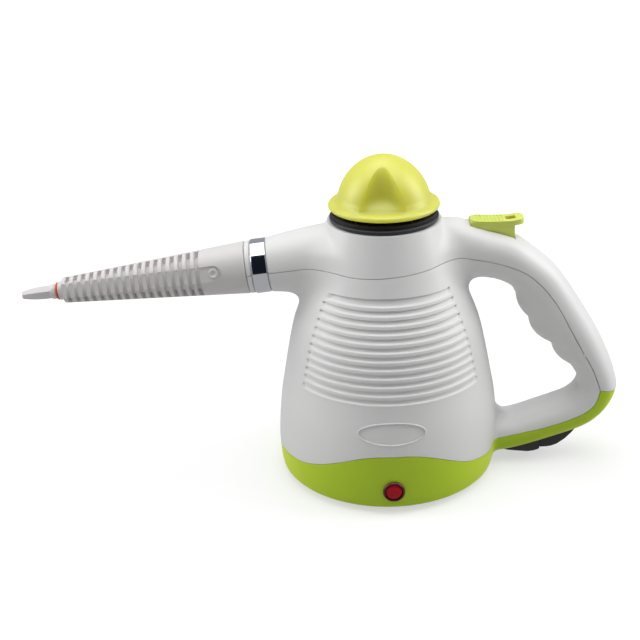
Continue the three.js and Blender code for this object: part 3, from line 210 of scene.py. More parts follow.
def smooth_through(line, places, at):
    """Values of a line at other places, on a curve that never overshoots its points."""
    line, places = np.asarray(line, float), np.asarray(places, float)
    step = np.diff(places)
    slope = np.diff(line) / step
    product, total = slope[:-1] * slope[1:], slope[:-1] + slope[1:]
    tangent = np.zeros_like(line)
    tangent[1:-1] = np.where(product > 0, 2 * product / np.where(total == 0, 1, total), 0)
    tangent[0], tangent[-1] = slope[0], slope[-1]
    i = np.clip(np.searchsorted(places, at) - 1, 0, len(step) - 1)
    t = np.clip((np.asarray(at, float) - places[i]) / step[i], 0, 1)
    a, b = line[i], line[i + 1]
    m, n = tangent[i] * step[i], tangent[i + 1] * step[i]
    return (2 * t**3 - 3 * t**2 + 1) * a + (t**3 - 2 * t**2 + t) * m + (3 * t**2 - 2 * t**3) * b + (t**3 - t**2) * n


def barrel_radius(z):
    """The barrel's radius at a height, without its louvres."""
    return smooth_through(barrel_line[:, 0], barrel_line[:, 1], z)


def share(value, start, length):
    """How much of a length is passed, from 0 to 1. With a negative length it falls from 1 to 0."""
    return np.clip((value - start) / length, 0, 1)


def oval_shift(x, z):
    """How far the barrel's left and right sides stand to the right of a true circle, most at half its height."""
    return side_shift * (x / body_radius) ** 2 * share(z, 22, 18) * share(z, 148, -40)


def spin_profile(profile, steps, place=None):
    """A turned form about Z from (radius, height) points, in millimetres, closed at the axis, put in its place."""
    bm = bmesh.new()
    verts = [bm.verts.new((r, 0, z)) for r, z in profile]
    edges = [bm.edges.new(pair) for pair in zip(verts, verts[1:])]
    if profile[0][0] > 1e-6 or profile[-1][0] > 1e-6:
        edges.append(bm.edges.new((verts[-1], verts[0])))
    bmesh.ops.spin(bm, geom=verts + edges, cent=(0, 0, 0), axis=(0, 0, 1), angle=2 * math.pi, steps=steps,
                   use_merge=True)
    bmesh.ops.remove_doubles(bm, verts=bm.verts, dist=1e-5)
    bmesh.ops.dissolve_degenerate(bm, dist=1e-6, edges=bm.edges)
    bmesh.ops.recalc_face_normals(bm, faces=bm.faces)
    if place:
        bmesh.ops.transform(bm, matrix=place, verts=bm.verts)
    return bm


def move_points(bm, change):
    """Moves every vertex of a form by a function on all its points at once."""
    points = np.array([v.co for v in bm.verts])
    for vert, place in zip(bm.verts, change(points)):
        vert.co = place


def polar(points):
    """Each point's turn about Z, distance from Z and height."""
    return np.arctan2(points[:, 1], points[:, 0]), np.hypot(points[:, 0], points[:, 1]), points[:, 2]


def from_polar(turn, radius, z):
    """The points that polar took apart."""
    return np.column_stack([radius * np.cos(turn), radius * np.sin(turn), z])


def drop(thing):
    """Removes a form that is used up."""
    mesh = thing.data
    bpy.data.objects.remove(thing)
    bpy.data.meshes.remove(mesh)


def cut_forms(first, others, operation):
    """Joins or cuts the first form with the others, or keeps what they share, and then drops the others."""
    for other in others:
        step = first.modifiers.new("cut", "BOOLEAN")
        step.operation = operation
        step.solver = "MANIFOLD"
        step.object = other
        bpy.context.view_layer.update()
        graph = bpy.context.evaluated_depsgraph_get()
        result = bpy.data.meshes.new_from_object(first.evaluated_get(graph))
        first.modifiers.clear()
        old = first.data
        first.data = result
        bpy.data.meshes.remove(old)
        drop(other)


# Louvres: twelve shallow grooves across the barrel's front and back, moulded with it. Each has a hard upper edge,
# the brow, a floor that rises, and a rounded lower lip, and ends in a small dot.
groove_pitch, groove_depth = 4.894, 1.15
lip_first, lip_height, lip_lead, lip_run, lip_fall = 124.65, 0.14, 0.75, 0.9, 1.6
brow_first, brow_below_lip, brow_run, floor_rise = 129.2, 1.9, 0.55, 0.35
lips = [lip_first - i * groove_pitch - 0.35 * max(0, i - 9) / 2 for i in range(12)]
brows = [brow_first] + [lip - brow_below_lip for lip in lips[:-1]]
end_angle, end_reach, end_run = np.radians(54.0), np.radians(9.0), 1.6
dot_depth, dot_inset, dot_spread = 1.5, 0.4, 0.42


def ease(part):
    """A share that starts and ends softly."""
    part = np.clip(part, 0, 1)
    return part * part * (3 - 2 * part)


def groove(z):
    """Depth of the louvres at a height, before they fade out at their ends."""
    depth = np.zeros_like(z)
    for brow, lip in zip(brows, lips):
        down = brow - z
        floor_length = brow - lip
        step_in = ease(down / brow_run)
        step_out = ease((down - floor_length + lip_lead) / lip_run)
        lip_fade = share(down - floor_length, 0.1, lip_fall)
        ramp = 1 - floor_rise * share(down, 0, floor_length)
        here = step_in * ramp * (1 - step_out) - lip_height * step_out * (1 - lip_fade)
        depth += np.where((down > 0) & (lip_fade < 1), here, 0)
    return depth * groove_depth


def louvre_end(z):
    """How far round the barrel the louvres reach at a height."""
    return np.radians(np.interp(z, [lips[-1], brows[0]], [56.0, 52.5]))


def barrel_points(points):
    """Draws the columns together at the louvres' ends, then presses the louvres in."""
    turn, radius, z = polar(points)
    front = np.where(turn < 0, -math.pi / 2, math.pi / 2)
    off = turn - front
    size = np.abs(off)
    near = (size - end_angle) / end_reach
    pulled = np.where(np.abs(near) < 1, end_angle + end_reach * near * (0.3 + 0.7 * near**2), size)
    goal = louvre_end(z)
    warped = np.where(pulled < end_angle, pulled * goal / end_angle,
                      goal + (pulled - end_angle) * (math.pi / 2 - goal) / (math.pi / 2 - end_angle))
    blend = share(z, 50, 12) * share(z, 142, -8)
    size = np.where(radius > 1, pulled + blend * (warped - pulled), size)
    turn = front + np.sign(off) * size
    arc = (goal - size) * radius
    sag = 1.3 * (size / goal) ** 2 * share(z, 125.5, 2.5)
    depth = groove(z + sag) * ease(arc / end_run)
    for brow in brows:
        dot_z = brow - (1.7 if brow == brow_first else 0.8)
        depth += dot_depth * np.exp(-((z - dot_z) ** 2 + (arc - dot_inset) ** 2) / dot_spread)
    radius = np.where(radius > 1, radius - depth, radius)
    x = radius * np.cos(turn)
    return np.column_stack([x + oval_shift(x, z), radius * np.sin(turn), z])


def barrel_rows():
    """Heights of the barrel's rows of vertices, close together where the louvres need them."""
    rows = [foot, 2.7, 3.0, 3.4, 3.9, 4.5, 5.2, 6, 7.2, 9, 11, 14]
    rows += list(np.arange(17, 67.5, 1.8))
    for brow, lip in zip(brows, lips):
        rows += [brow + step for step in (0.35, 0, -0.18, -0.36, -0.55, -0.9)] + [0.5 * (brow + lip)]
        rows += [lip + step for step in (0.75, 0.45, 0.2, -0.02, -0.25, -0.7, -1.3)]
    rows += list(np.arange(127.2, 128.9, 0.2)) + list(np.arange(130.4, height, 1.6)) + [height]
    rows = sorted(set(round(row, 3) for row in rows))
    kept = [rows[0]]
    for row in rows[1:]:
        if row - kept[-1] > 0.12:
            kept.append(row)
    return kept


def barrel_form(steps):
    """The barrel as a solid, with its louvres."""
    bm = spin_profile([(0, foot), *((float(barrel_radius(z)), z) for z in barrel_rows()), (0, height)], steps)
    move_points(bm, barrel_points)
    return bm


# Spout: a short cone, moulded with the barrel, that points to the left and 5.5 degrees down. It ends in the seat of
# the chromed ring and a flange, in front of which the nozzle turns.
spout_tilt = math.radians(5.5)
spout_axis_z = 142.6
ring_start, ring_end = 69.8, 79.2
flange_start, flange_end = 79.5, 82.6
ring_seat, flange_radius = 14.7, 15.8
spout_line = np.array([(0.3, 1.22), (0.5, 1.24), (0.7, 1.172), (0.85, 1.095), (1.0, 1.0)]) * [69.5, 16.4]
spout_out = Vector((-math.cos(spout_tilt), 0, -math.sin(spout_tilt)))
spout_turn = Matrix.Translation((0, 0, spout_axis_z)) @ Matrix.Rotation(-(math.pi / 2 + spout_tilt), 4, "Y")


def spout_form(steps):
    """The spout as a solid, with its ring seat and flange."""
    along = np.linspace(spout_line[0, 0], spout_line[-1, 0], 40)
    across = smooth_through(spout_line[:, 1], spout_line[:, 0], along)
    profile = [(0, along[0]), *zip(across, along)]
    profile += [(ring_seat, ring_start - 0.3), (ring_seat, flange_start), (flange_radius - 0.4, flange_start),
                (flange_radius, flange_start + 0.4), (flange_radius, flange_end - 0.4),
                (flange_radius - 0.4, flange_end), (0, flange_end)]
    return spin_profile(profile, steps, spout_turn)


# Handle: a closed loop behind the barrel, moulded with it and hollow, egg-shaped in section. Its inner side swells
# out to three finger pads, and its lower arm runs back to the foot.
outer_shares = [
    (0.2, 0.99), (0.29, 0.989), (0.347, 0.976), (0.417, 0.956), (0.535, 0.917), (0.642, 0.847), (0.725, 0.775),
    (0.816, 0.655), (0.903, 0.525), (0.958, 0.421), (0.986, 0.36), (0.999, 0.3), (0.976, 0.234), (0.925, 0.173),
    (0.845, 0.127), (0.68, 0.077), (0.555, 0.046), (0.44, 0.028),
]
inner_shares = [
    (0.2, 0.74), (0.3, 0.755), (0.365, 0.764), (0.42, 0.762), (0.475, 0.75), (0.526, 0.724), (0.553, 0.684),
    (0.608, 0.593), (0.708, 0.489), (0.785, 0.401), (0.82, 0.354), (0.832, 0.325), (0.827, 0.299), (0.805, 0.276),
    (0.768, 0.258), (0.66, 0.224), (0.555, 0.194), (0.44, 0.187),
]
half_width, squareness = 16.5, 0.85
pad_first, pad_rises, pad_skews = 6, np.array([1.7, 4.1, 3.3]), np.array([1.0, 1.3, 1.25])


def spline(shares, places):
    """Catmull-Rom curve through a line of points, at places counted in spans."""
    points = np.array(shares) * [reach, height]
    ends = np.vstack([2 * points[0] - points[1], points, 2 * points[-1] - points[-2]])
    i = np.clip(np.floor(places).astype(int), 0, len(points) - 2)
    t = (places - i)[:, None]
    a, b, c, d = ends[i], ends[i + 1], ends[i + 2], ends[i + 3]
    return 0.5 * (2 * b + (c - a) * t + (2 * a - 5 * b + 4 * c - d) * t**2 + (3 * b - a - 3 * c + d) * t**3)


handle_places = np.linspace(0, 17, 17 * 10 + 1)
grip_swell = 0.45 * share(handle_places, 3, 1) * share(handle_places, 10, -1)
handle_outer = spline(outer_shares, handle_places) + grip_swell[:, None]
handle_inner = spline(inner_shares, handle_places)
handle_inner[:, 1] -= 0.7 * share(handle_places, 12, 2)
handle_middle = (handle_outer + handle_inner) / 2
handle_span = handle_outer - handle_inner
handle_half = np.linalg.norm(handle_span, axis=1) / 2
handle_dir = handle_span / (2 * handle_half[:, None])
pad_place = handle_places - pad_first
pad_number = np.clip(np.floor(pad_place), 0, 2).astype(int)
pad_share = np.mod(pad_place, 1) ** pad_skews[pad_number]
pad_swell = pad_rises[pad_number] * np.sin(math.pi * pad_share) ** 0.75
handle_pad = np.where((pad_place > 0) & (pad_place < 3), pad_swell, 0)


def bridge_circles(bm, circles, closed=False):
    """Joins a row of circles of vertices with a skin, and gives each circle's edges."""
    rings = [[bm.edges.get((a, b)) for a, b in zip(circle, circle[1:] + circle[:1])] for circle in circles]
    for one, two in zip(rings, rings[1:] + (rings[:1] if closed else [])):
        bmesh.ops.bridge_loops(bm, edges=one + two)
    return rings


def handle_form(sides, inset=0.0, pads=True):
    """The loop as a solid with so many sides, or a plainer one a wall's thickness inside it."""
    bm = bmesh.new()
    circles = []
    turns = 2 * math.pi * np.arange(sides) / sides
    for i in range(0, len(handle_places), 1 if pads else 5):
        circle = bmesh.ops.create_circle(bm, radius=1.0, segments=sides)["verts"]
        middle, way, half = handle_middle[i], handle_dir[i], handle_half[i] - inset
        lift = handle_pad[i] if pads else 0.0
        for vert, turn in zip(circle, turns):
            side = math.copysign(abs(math.cos(turn)) ** squareness, math.cos(turn))
            x, z = middle + way * (side * (half + (lift * abs(side) ** 2.5 if side < 0 else 0)))
            vert.co = (x, math.sin(turn) * (half_width - inset), z)
        circles.append(circle)
    rings = bridge_circles(bm, circles)
    bmesh.ops.contextual_create(bm, geom=rings[0])
    bmesh.ops.contextual_create(bm, geom=rings[-1])
    bmesh.ops.recalc_face_normals(bm, faces=bm.faces)
    return bm


out_of_reach, past_end, section_power = 1e3, 12, 2.35
spout_hollow, handle_hollow = 13.0, 12.0


def distance_barrel(p):
    """Signed distance to the barrel, in millimetres."""
    radius = np.hypot(p[:, 0] - oval_shift(p[:, 0], p[:, 2]), p[:, 1])
    z = np.clip(p[:, 2], foot, height)
    slope = barrel_radius(z + 0.5) - barrel_radius(z - 0.5)
    return (radius - barrel_radius(z)) / np.sqrt(1 + slope**2)


def distance_spout(p):
    """The same for the spout."""
    q = p - [0, 0, spout_axis_z]
    along = q @ np.array(spout_out)
    off = np.linalg.norm(q - along[:, None] * np.array(spout_out), axis=1)
    start, end = spout_line[0, 0], spout_line[-1, 0]
    across = smooth_through(spout_line[:, 1], spout_line[:, 0], np.clip(along, start, end))
    return np.maximum(off - across, start - past_end - along)


def distance_handle(p):
    """The same for the loop: each point goes by the section that is nearest to it, and has no value far from all."""
    flat = p[:, [0, 2]]
    best = np.full(len(p), 1e9)
    value = np.full(len(p), out_of_reach)
    for i in range(len(handle_places)):
        rel = flat - handle_middle[i]
        along = np.abs(rel @ np.array([-handle_dir[i][1], handle_dir[i][0]]))
        across = rel @ handle_dir[i]
        gap = along + np.maximum(np.abs(across) - handle_half[i] - past_end, 0) * 4
        u, v = np.abs(across / handle_half[i]), p[:, 1] / half_width
        size = np.sqrt(u**section_power + v**2)
        steep = np.hypot(u ** (section_power - 1) * section_power / 2 / handle_half[i], v / half_width)
        here = (size - 1) / np.maximum(steep / np.maximum(size, 1e-3), 0.02)
        value = np.where(gap < best, here, value)
        best = np.minimum(best, gap)
    return np.where(best < 6, value, out_of_reach)


def soft_union(p):
    """Signed distance to the three forms, with the hollows between them filled out, least near the top edge."""
    a, bump, z = distance_barrel(p), np.zeros(len(p)), p[:, 2]
    fade = 0.1 + 0.9 * share(z, 160, -12)
    # The lower arm meets the barrel in tighter corners on its faces and its underside than in the hand's hole
    under_or_face = np.maximum(share(z, 24, -14), share(np.abs(p[:, 1]), 5, 7))
    tight = 1 - share(z, 70, -20) * (0.72 * under_or_face)
    for other, softness in ((distance_spout(p), spout_hollow), (distance_handle(p), handle_hollow * tight)):
        soft = softness * fade
        h = np.clip(0.5 + 0.5 * (other - a) / soft, 0, 1)
        step = soft * h * (1 - h)
        a = other * (1 - h) + a * h - step
        bump = np.maximum(bump, step)
    return a, bump


def fill_hollows(thing):
    """Moves the joined form's points near a corner out to the soft union, in five steps along its slope."""
    mesh = thing.data
    points = np.zeros(len(mesh.vertices) * 3)
    mesh.vertices.foreach_get("co", points)
    points = points.reshape(-1, 3)
    bump = soft_union(points)[1]
    chosen = np.where((points[:, 2] > foot + 2) & (points[:, 2] < height - 0.5) & (bump > 0.004))[0]
    probe, longest_move = 0.05, 1.5
    for _ in range(5):
        p = points[chosen]
        value = soft_union(p)[0]
        grad = np.zeros_like(p)
        for k, step in enumerate(np.eye(3) * probe):
            grad[:, k] = (soft_union(p + step)[0] - soft_union(p - step)[0]) / (2 * probe)
        move = value[:, None] * grad / np.maximum((grad**2).sum(1), 0.2)[:, None]
        length = np.linalg.norm(move, axis=1)
        move *= np.minimum(1, longest_move / np.maximum(length, 1e-9))[:, None]
        points[chosen] = p - move
    mesh.vertices.foreach_set("co", points.ravel())
    mesh.update()


shell_outside = solid_of(barrel_form(240), "shell_outside")
spout_solid = solid_of(spout_form(96), "spout_solid")
handle_solid = solid_of(handle_form(48), "handle_solid")
cut_forms(shell_outside, [spout_solid, handle_solid], "UNION")
fill_hollows(shell_outside)

# Housing, parts: the wall is 2.4 mm thick. The outline is split along the real seams into the upper shell, which
# clips on from above, the lower shell with the louvres, and the lime base, and holes are cut for what sits in it.
wall, seam_gap, far = 2.4, 0.34, 400.0
upper_seam_shares = [
    (-0.72, 0.811), (-0.47, 0.839), (-0.38, 0.85), (-0.305, 0.858), (-0.14, 0.856), (0, 0.862), (0.125, 0.868),
    (0.27, 0.873), (0.31, 0.872), (0.36, 0.862), (0.437, 0.848), (0.513, 0.825), (0.572, 0.8), (0.619, 0.766),
    (0.668, 0.718), (0.719, 0.653), (0.77, 0.567), (0.821, 0.483), (0.873, 0.399), (0.91, 0.313),
]
base_seam_shares = [
    (-0.56, 0.08), (-0.476, 0.102), (-0.453, 0.124), (-0.405, 0.135), (-0.36, 0.146), (-0.3, 0.167), (-0.257, 0.184),
    (-0.195, 0.208), (-0.13, 0.229), (-0.065, 0.239), (0, 0.24), (0.065, 0.239), (0.13, 0.228), (0.195, 0.206),
    (0.257, 0.179), (0.312, 0.153), (0.375, 0.132), (0.43, 0.118), (0.5, 0.126), (0.59, 0.142), (0.7, 0.166),
    (0.8, 0.196), (0.86, 0.225), (0.895, 0.262), (0.91, 0.313),
]
corner_seam_shares = [(0.91, 0.313), (1.0, 0.293), (1.08, 0.276)]


def seam(shares):
    """A smooth line through a seam's points, six steps to a span."""
    spans = len(shares) - 1
    return spline(shares, np.linspace(0, spans, spans * 6 + 1))


def beside(line, distance):
    """A line moved sideways, to the left of its direction where the distance is positive."""
    way = np.gradient(line, axis=0)
    way /= np.linalg.norm(way, axis=1)[:, None]
    return line + distance * np.column_stack([-way[:, 1], way[:, 0]])


def push_out(bm, faces, way):
    """Draws faces out along a vector into a solid."""
    pushed = bmesh.ops.extrude_face_region(bm, geom=faces)
    bmesh.ops.translate(bm, vec=way, verts=[v for v in pushed["geom"] if isinstance(v, bmesh.types.BMVert)])
    bmesh.ops.recalc_face_normals(bm, faces=bm.faces)


def side_piece(outline, width):
    """A plate with an XZ outline, in the middle of the machine."""
    bm = bmesh.new()
    push_out(bm, [bm.faces.new([bm.verts.new((x, -width / 2, z)) for x, z in outline])], (0, width, 0))
    return bm


def copy_of(thing, name):
    """A second object of the same form."""
    other = thing.copy()
    other.data = thing.data.copy()
    other.name = name
    bpy.context.scene.collection.objects.link(other)
    return other


def keep_part(outline, name):
    """The part of the hollow form that lies inside an XZ outline."""
    part = copy_of(shell_outside, name)
    cut_forms(part, [solid_of(side_piece(outline, far), "region")], "INTERSECT")
    return part


inner_rows = np.linspace(foot + wall, height - wall, 40)
inner_profile = [(0, foot + wall)] + [(float(barrel_radius(z)) - wall, z) for z in inner_rows]
inner_profile[1] = (inner_profile[1][0] - 1.5, inner_profile[1][1])
inner_barrel = solid_of(spin_profile(inner_profile + [(0, height - wall)], 96), "inner_barrel")
inner_spout = solid_of(spin_profile([
    (0, 15), (15.2, 15), (16.7, 35), (15.9, 48), (14.5, 59), (13.2, 66), (9.3, 66), (9.3, 90), (0, 90),
], 64, spout_turn), "inner_spout")
inner_handle = solid_of(handle_form(32, inset=wall, pads=False), "inner_handle")
mouth_low, mouth_high, mouth_radius = height - 3 * wall, height + 6, 26.6
mouth = solid_of(spin_profile([
    (0, mouth_low), (mouth_radius, mouth_low), (mouth_radius, mouth_high), (0, mouth_high)], 120), "mouth")
cut_forms(inner_barrel, [inner_spout, inner_handle, mouth], "UNION")
cut_forms(shell_outside, [inner_barrel], "DIFFERENCE")

upper_edge = beside(np.vstack([seam(upper_seam_shares), seam(corner_seam_shares)[1:]]), seam_gap / 2)
upper_shell = keep_part([(-far, upper_edge[0][1]), *upper_edge, (far, upper_edge[-1][1]), (far, far), (-far, far)],
                        "upper_shell_skin")
lower_edge = beside(np.vstack([seam(base_seam_shares), seam(upper_seam_shares)[:-1][::-1]]), seam_gap / 2)
lower_shell = keep_part([(-far, lower_edge[0][1]), *lower_edge, (-far, lower_edge[-1][1])], "lower_shell_skin")
base_edge = beside(np.vstack([seam(base_seam_shares), seam(corner_seam_shares)[1:]]), -seam_gap / 2)
base_shell = keep_part([(-far, -far), (far, -far), (far, base_edge[-1][1]), *base_edge[::-1],
                        (-far, base_edge[0][1])], "base_skin")
drop(shell_outside)


def box_form(low, high):
    """A block between two corners."""
    bm = bmesh.new()
    bmesh.ops.create_cube(bm, size=1.0)
    middle = [(a + b) / 2 for a, b in zip(low, high)]
    size = [b - a for a, b in zip(low, high)]
    bmesh.ops.scale(bm, vec=size, verts=bm.verts)
    bmesh.ops.translate(bm, vec=middle, verts=bm.verts)
    return bm


pin_x, pin_z, slot_half = 0.32 * reach, 0.931 * height, 6.3
slot_bm = box_form((pin_x + 4.2, -slot_half, pin_z - 12), (pin_x + 31.2, slot_half, height + 6))
cut_forms(upper_shell, [solid_of(slot_bm, "slot_cut")], "DIFFERENCE")

plate_x, plate_z, plate_half, plate_high, plate_depth = -0.6, 53.2, 19.1, 6.35, 0.5
plate_bm = bmesh.new()
bmesh.ops.create_circle(plate_bm, cap_ends=True, radius=1.0, segments=96)
bmesh.ops.scale(plate_bm, vec=(plate_half, plate_high, 1), verts=plate_bm.verts)
push_out(plate_bm, plate_bm.faces[:], (0, 0, 80))
to_front = Matrix.Rotation(math.pi / 2, 4, "X")
bmesh.ops.transform(plate_bm, matrix=Matrix.Translation((plate_x, 0, plate_z)) @ to_front, verts=plate_bm.verts)
plate_cut = solid_of(plate_bm, "plate_cut")
core_low, core_high = 35, 72
core_profile = [(float(barrel_radius(z)) - plate_depth, z) for z in np.linspace(core_low, core_high, 40)]
plate_core = solid_of(spin_profile([(0, core_low), *core_profile, (0, core_high)], 240), "plate_core")
cut_forms(plate_cut, [plate_core], "DIFFERENCE")
cut_forms(lower_shell, [plate_cut], "DIFFERENCE")

bead_out, bead_radius, bead_count = 0.35, 0.42, 160
bead_turns = 2 * math.pi * np.arange(bead_count) / bead_count
bead_z = plate_z + (plate_high + bead_out) * np.sin(bead_turns)
bead_x = plate_x + (plate_half + bead_out) * np.cos(bead_turns)
bead_y = -np.sqrt(barrel_radius(bead_z) ** 2 - bead_x**2)
bead_path = np.column_stack([bead_x, bead_y, bead_z])
bead_bm, bead_circles = bmesh.new(), []
for i in range(bead_count):
    along = Vector(bead_path[(i + 1) % bead_count] - bead_path[i - 1]).normalized()
    outward = Vector((bead_x[i], bead_y[i], 0)).normalized()
    across = along.cross(outward).normalized()
    bead_circles.append(bmesh.ops.create_circle(bead_bm, radius=bead_radius, segments=10)["verts"])
    for vert in bead_circles[-1]:
        vert.co = Vector(bead_path[i]) + across * vert.co.x + outward * vert.co.y
bridge_circles(bead_bm, bead_circles, closed=True)
bmesh.ops.recalc_face_normals(bead_bm, faces=bead_bm.faces)
cut_forms(lower_shell, [solid_of(bead_bm, "plate_bead")], "UNION")

lamp_hole = 6.0
lamp_place = Matrix.Translation((0, 0, 16.6)) @ to_front
lamp_bm = spin_profile([(0, 34), (lamp_hole, 34), (lamp_hole, 90), (0, 90)], 64, lamp_place)
cut_forms(base_shell, [solid_of(lamp_bm, "lamp_cut")], "DIFFERENCE")


def make_moulded_grain():
    """Fine grain for moulded plastics: small bumps, and a colour and a roughness that vary a little."""
    group = bpy.data.node_groups.new("moulded_grain", "ShaderNodeTree")
    for name, way, kind in (
            ("Grain Size", "INPUT", "Float"), ("Roughness", "INPUT", "Float"), ("Roughness Change", "INPUT", "Float"),
            ("Colour", "INPUT", "Color"), ("Colour Change", "INPUT", "Float"), ("Colour", "OUTPUT", "Color"),
            ("Roughness", "OUTPUT", "Float"), ("Height", "OUTPUT", "Float")):
        group.interface.new_socket(name, in_out=way, socket_type="NodeSocket" + kind)
    given = wire(group, "NodeGroupInput").outputs
    place = wire(group, "ShaderNodeTexCoord").outputs["Object"]
    grain = wire(group, "ShaderNodeTexNoise", place, None, given["Grain Size"], 3.0)
    cloud = wire(group, "ShaderNodeTexNoise", place, None, 18.0, 2.0)
    shift = wire(group, "ShaderNodeMath", cloud.outputs["Fac"], 0.5, operation="SUBTRACT").outputs[0]
    gloss = wire(group, "ShaderNodeMath", shift, given["Roughness Change"], given["Roughness"],
                 operation="MULTIPLY_ADD")
    tone = wire(group, "ShaderNodeMath", shift, given["Colour Change"], 1.0, operation="MULTIPLY_ADD")
    tint = wire(group, "ShaderNodeVectorMath", given["Colour"], None, None, tone.outputs[0], operation="SCALE")
    wire(group, "NodeGroupOutput", tint.outputs[0], gloss.outputs[0], grain.outputs["Fac"])
    return group


moulded_grain = make_moulded_grain()
gloss_change, grain_height, soft_reach, soft_colours = 0.12, 0.0002, 0.012, (1.0, 0.9, 0.3)


def moulded_plastic(name, colour, roughness, grain_size=2600.0, grain_depth=0.04, colour_change=0.05, shine=0.5,
                    painted_rim_highlight=None, edge=0.0, soft=0.0, metal=0.0):
    """A plastic, rubber or metal with its own colour, gloss and grain, where asked rounded edges in the shading, and
    where asked a painted highlight: a brighter colour where the surface turns away from the view.
    """
    material = bpy.data.materials.new(name)
    material.use_nodes = True
    tree = material.node_tree
    feed = tree.links.new
    shader = tree.nodes["Principled BSDF"].inputs
    grain = wire(tree, "ShaderNodeGroup", grain_size, roughness, gloss_change, (*colour, 1), colour_change,
                 node_tree=moulded_grain)
    bump = wire(tree, "ShaderNodeBump", grain_depth, grain_height)
    feed(grain.outputs["Height"], bump.inputs["Height"])
    if edge:
        feed(wire(tree, "ShaderNodeBevel", edge, samples=6).outputs[0], bump.inputs["Normal"])
    feed(bump.outputs[0], shader["Normal"])
    feed(grain.outputs["Roughness"], shader["Roughness"])
    feed(grain.outputs["Colour"], shader["Base Color"])
    # Painted highlight: where the surface turns away from the view, its colour is mixed towards a brighter one that
    # stands in for light from the side lamps.
    if painted_rim_highlight:
        facing = wire(tree, "ShaderNodeLayerWeight", 0.5)
        rim_highlight_share = wire(tree, "ShaderNodeMath", facing.outputs["Facing"], 2.2, operation="POWER")
        blend = wire(tree, "ShaderNodeMixRGB", rim_highlight_share.outputs[0], grain.outputs["Colour"], (*painted_rim_highlight, 1))
        feed(blend.outputs[0], shader["Base Color"])
    for socket, value in (("Metallic", metal), ("Specular IOR Level", shine), ("Subsurface Weight", soft),
                          ("Subsurface Radius", soft_colours), ("Subsurface Scale", soft_reach)):
        shader[socket].default_value = value
    return material


def dress(mesh, material, sharp):
    """Smooth faces with sharp edges past an angle in degrees, in one material."""
    mesh.polygons.foreach_set("use_smooth", [True] * len(mesh.polygons))
    mesh.set_sharp_from_angle(angle=math.radians(sharp))
    mesh.materials.clear()
    mesh.materials.append(material)


def finish_piece(thing, material, body, node, sharp=35.0):
    """Puts a piece made in millimetres about the filler axis in its place, and hands it to the frame."""
    thing.data.transform(Matrix.Translation((axis_x, 0, 0)) @ Matrix.Scale(mm, 4))
    dress(thing.data, material, sharp)
    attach(thing, body)
    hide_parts(node)


white_plastic = moulded_plastic("white_shell_plastic", (0.82, 0.82, 0.81), 0.40, edge=0.0005)
# The lime base gets a painted highlight: a paler, yellower lime where its surface turns away from the view.
lime_plastic = moulded_plastic("lime_base_plastic", (0.48, 0.69, 0.028), 0.40, shine=0.3,
                               painted_rim_highlight=(0.86, 1.0, 0.015), edge=0.0006)
finish_piece(upper_shell, white_plastic, "housing", "upper_shell")
finish_piece(lower_shell, white_plastic, "housing", "lower_shell")
finish_piece(base_shell, lime_plastic, "housing", "base")

# Spout ring: a band of chromed brass, polished like a mirror, with its two edges broken. It is pressed into its seat
# on the spout.
chrome_metal = bpy.data.materials.new("mirror_chrome")
chrome_metal.use_nodes = True
chrome_tree = chrome_metal.node_tree
chrome_shader = chrome_tree.nodes["Principled BSDF"].inputs
chrome_shader["Base Color"].default_value = (0.72, 0.73, 0.75, 1)
chrome_shader["Metallic"].default_value = 1.0
chrome_place = wire(chrome_tree, "ShaderNodeTexCoord")
chrome_haze = wire(chrome_tree, "ShaderNodeTexNoise", chrome_place.outputs["Object"], None, 900.0)
chrome_range = wire(chrome_tree, "ShaderNodeMapRange", chrome_haze.outputs["Fac"], 0.0, 1.0, 0.05, 0.11)
chrome_tree.links.new(chrome_range.outputs[0], chrome_shader["Roughness"])

band_radius, band_inside, band_edge = 16.4, ring_seat + 0.3, 0.5
band_bm = spin_profile([
    (band_inside, ring_start), (band_radius - band_edge, ring_start), (band_radius, ring_start + band_edge),
    (band_radius, ring_end - band_edge), (band_radius - band_edge, ring_end), (band_inside, ring_end),
], 128, spout_turn)
finish_piece(solid_of(band_bm, "chrome_ring_band"), chrome_metal, "housing", "chrome_ring")

# Nozzle: a moulded cone with seventeen cooling fins, a flat down each side that ends in a round boss, and at its tip
# an orange seal and a six-sided jet. A rib runs down its top and bottom, where the mould's halves met. It turns
# on the spout's spigot, and was left turned by 15 degrees.
nozzle_start = flange_end + 0.3
sleeve_length, fin_count, fin_pitch = 27.4, 17, 4.97
sleeve_radius, fin_end_radius = 15.8, 7.7
socket_radius, socket_end = 9.6, 101.9
fins_start = nozzle_start + sleeve_length
fins_end = fins_start + fin_count * fin_pitch
nozzle_roll = spout_turn @ Matrix.Rotation(math.radians(15), 4, "Z")


def nozzle_radius(s):
    """The cone's radius at a place along it."""
    return sleeve_radius + (fin_end_radius - sleeve_radius) * (s - nozzle_start) / (fins_end - nozzle_start)


# Each groove is drawn one millimetre deep here, and gets its real depth from where it is round the cone
nozzle_profile = [(socket_radius, nozzle_start), (nozzle_radius(nozzle_start) - 0.4, nozzle_start),
                  (nozzle_radius(nozzle_start), nozzle_start + 0.4)]
fin_width = 0.48 * fin_pitch
for i in range(fin_count):
    gap_start = fins_start + i * fin_pitch
    gap_end = gap_start + fin_pitch - fin_width
    start_radius, end_radius = nozzle_radius(gap_start), nozzle_radius(gap_end)
    nozzle_profile += [
        (nozzle_radius(gap_start - 0.15), gap_start - 0.15), (start_radius - 0.12, gap_start),
        (start_radius - 0.9, gap_start + 0.1), (start_radius - 1, gap_start + 0.3),
        (end_radius - 1, gap_end - 0.3), (end_radius - 0.9, gap_end - 0.1), (end_radius - 0.12, gap_end),
        (nozzle_radius(gap_end + 0.25), gap_end + 0.25),
    ]
nozzle_profile += [(nozzle_radius(fins_end - 0.3), fins_end - 0.3), (nozzle_radius(fins_end) - 0.3, fins_end)]
front_radius, front_end = 5.6, fins_end + 3.0
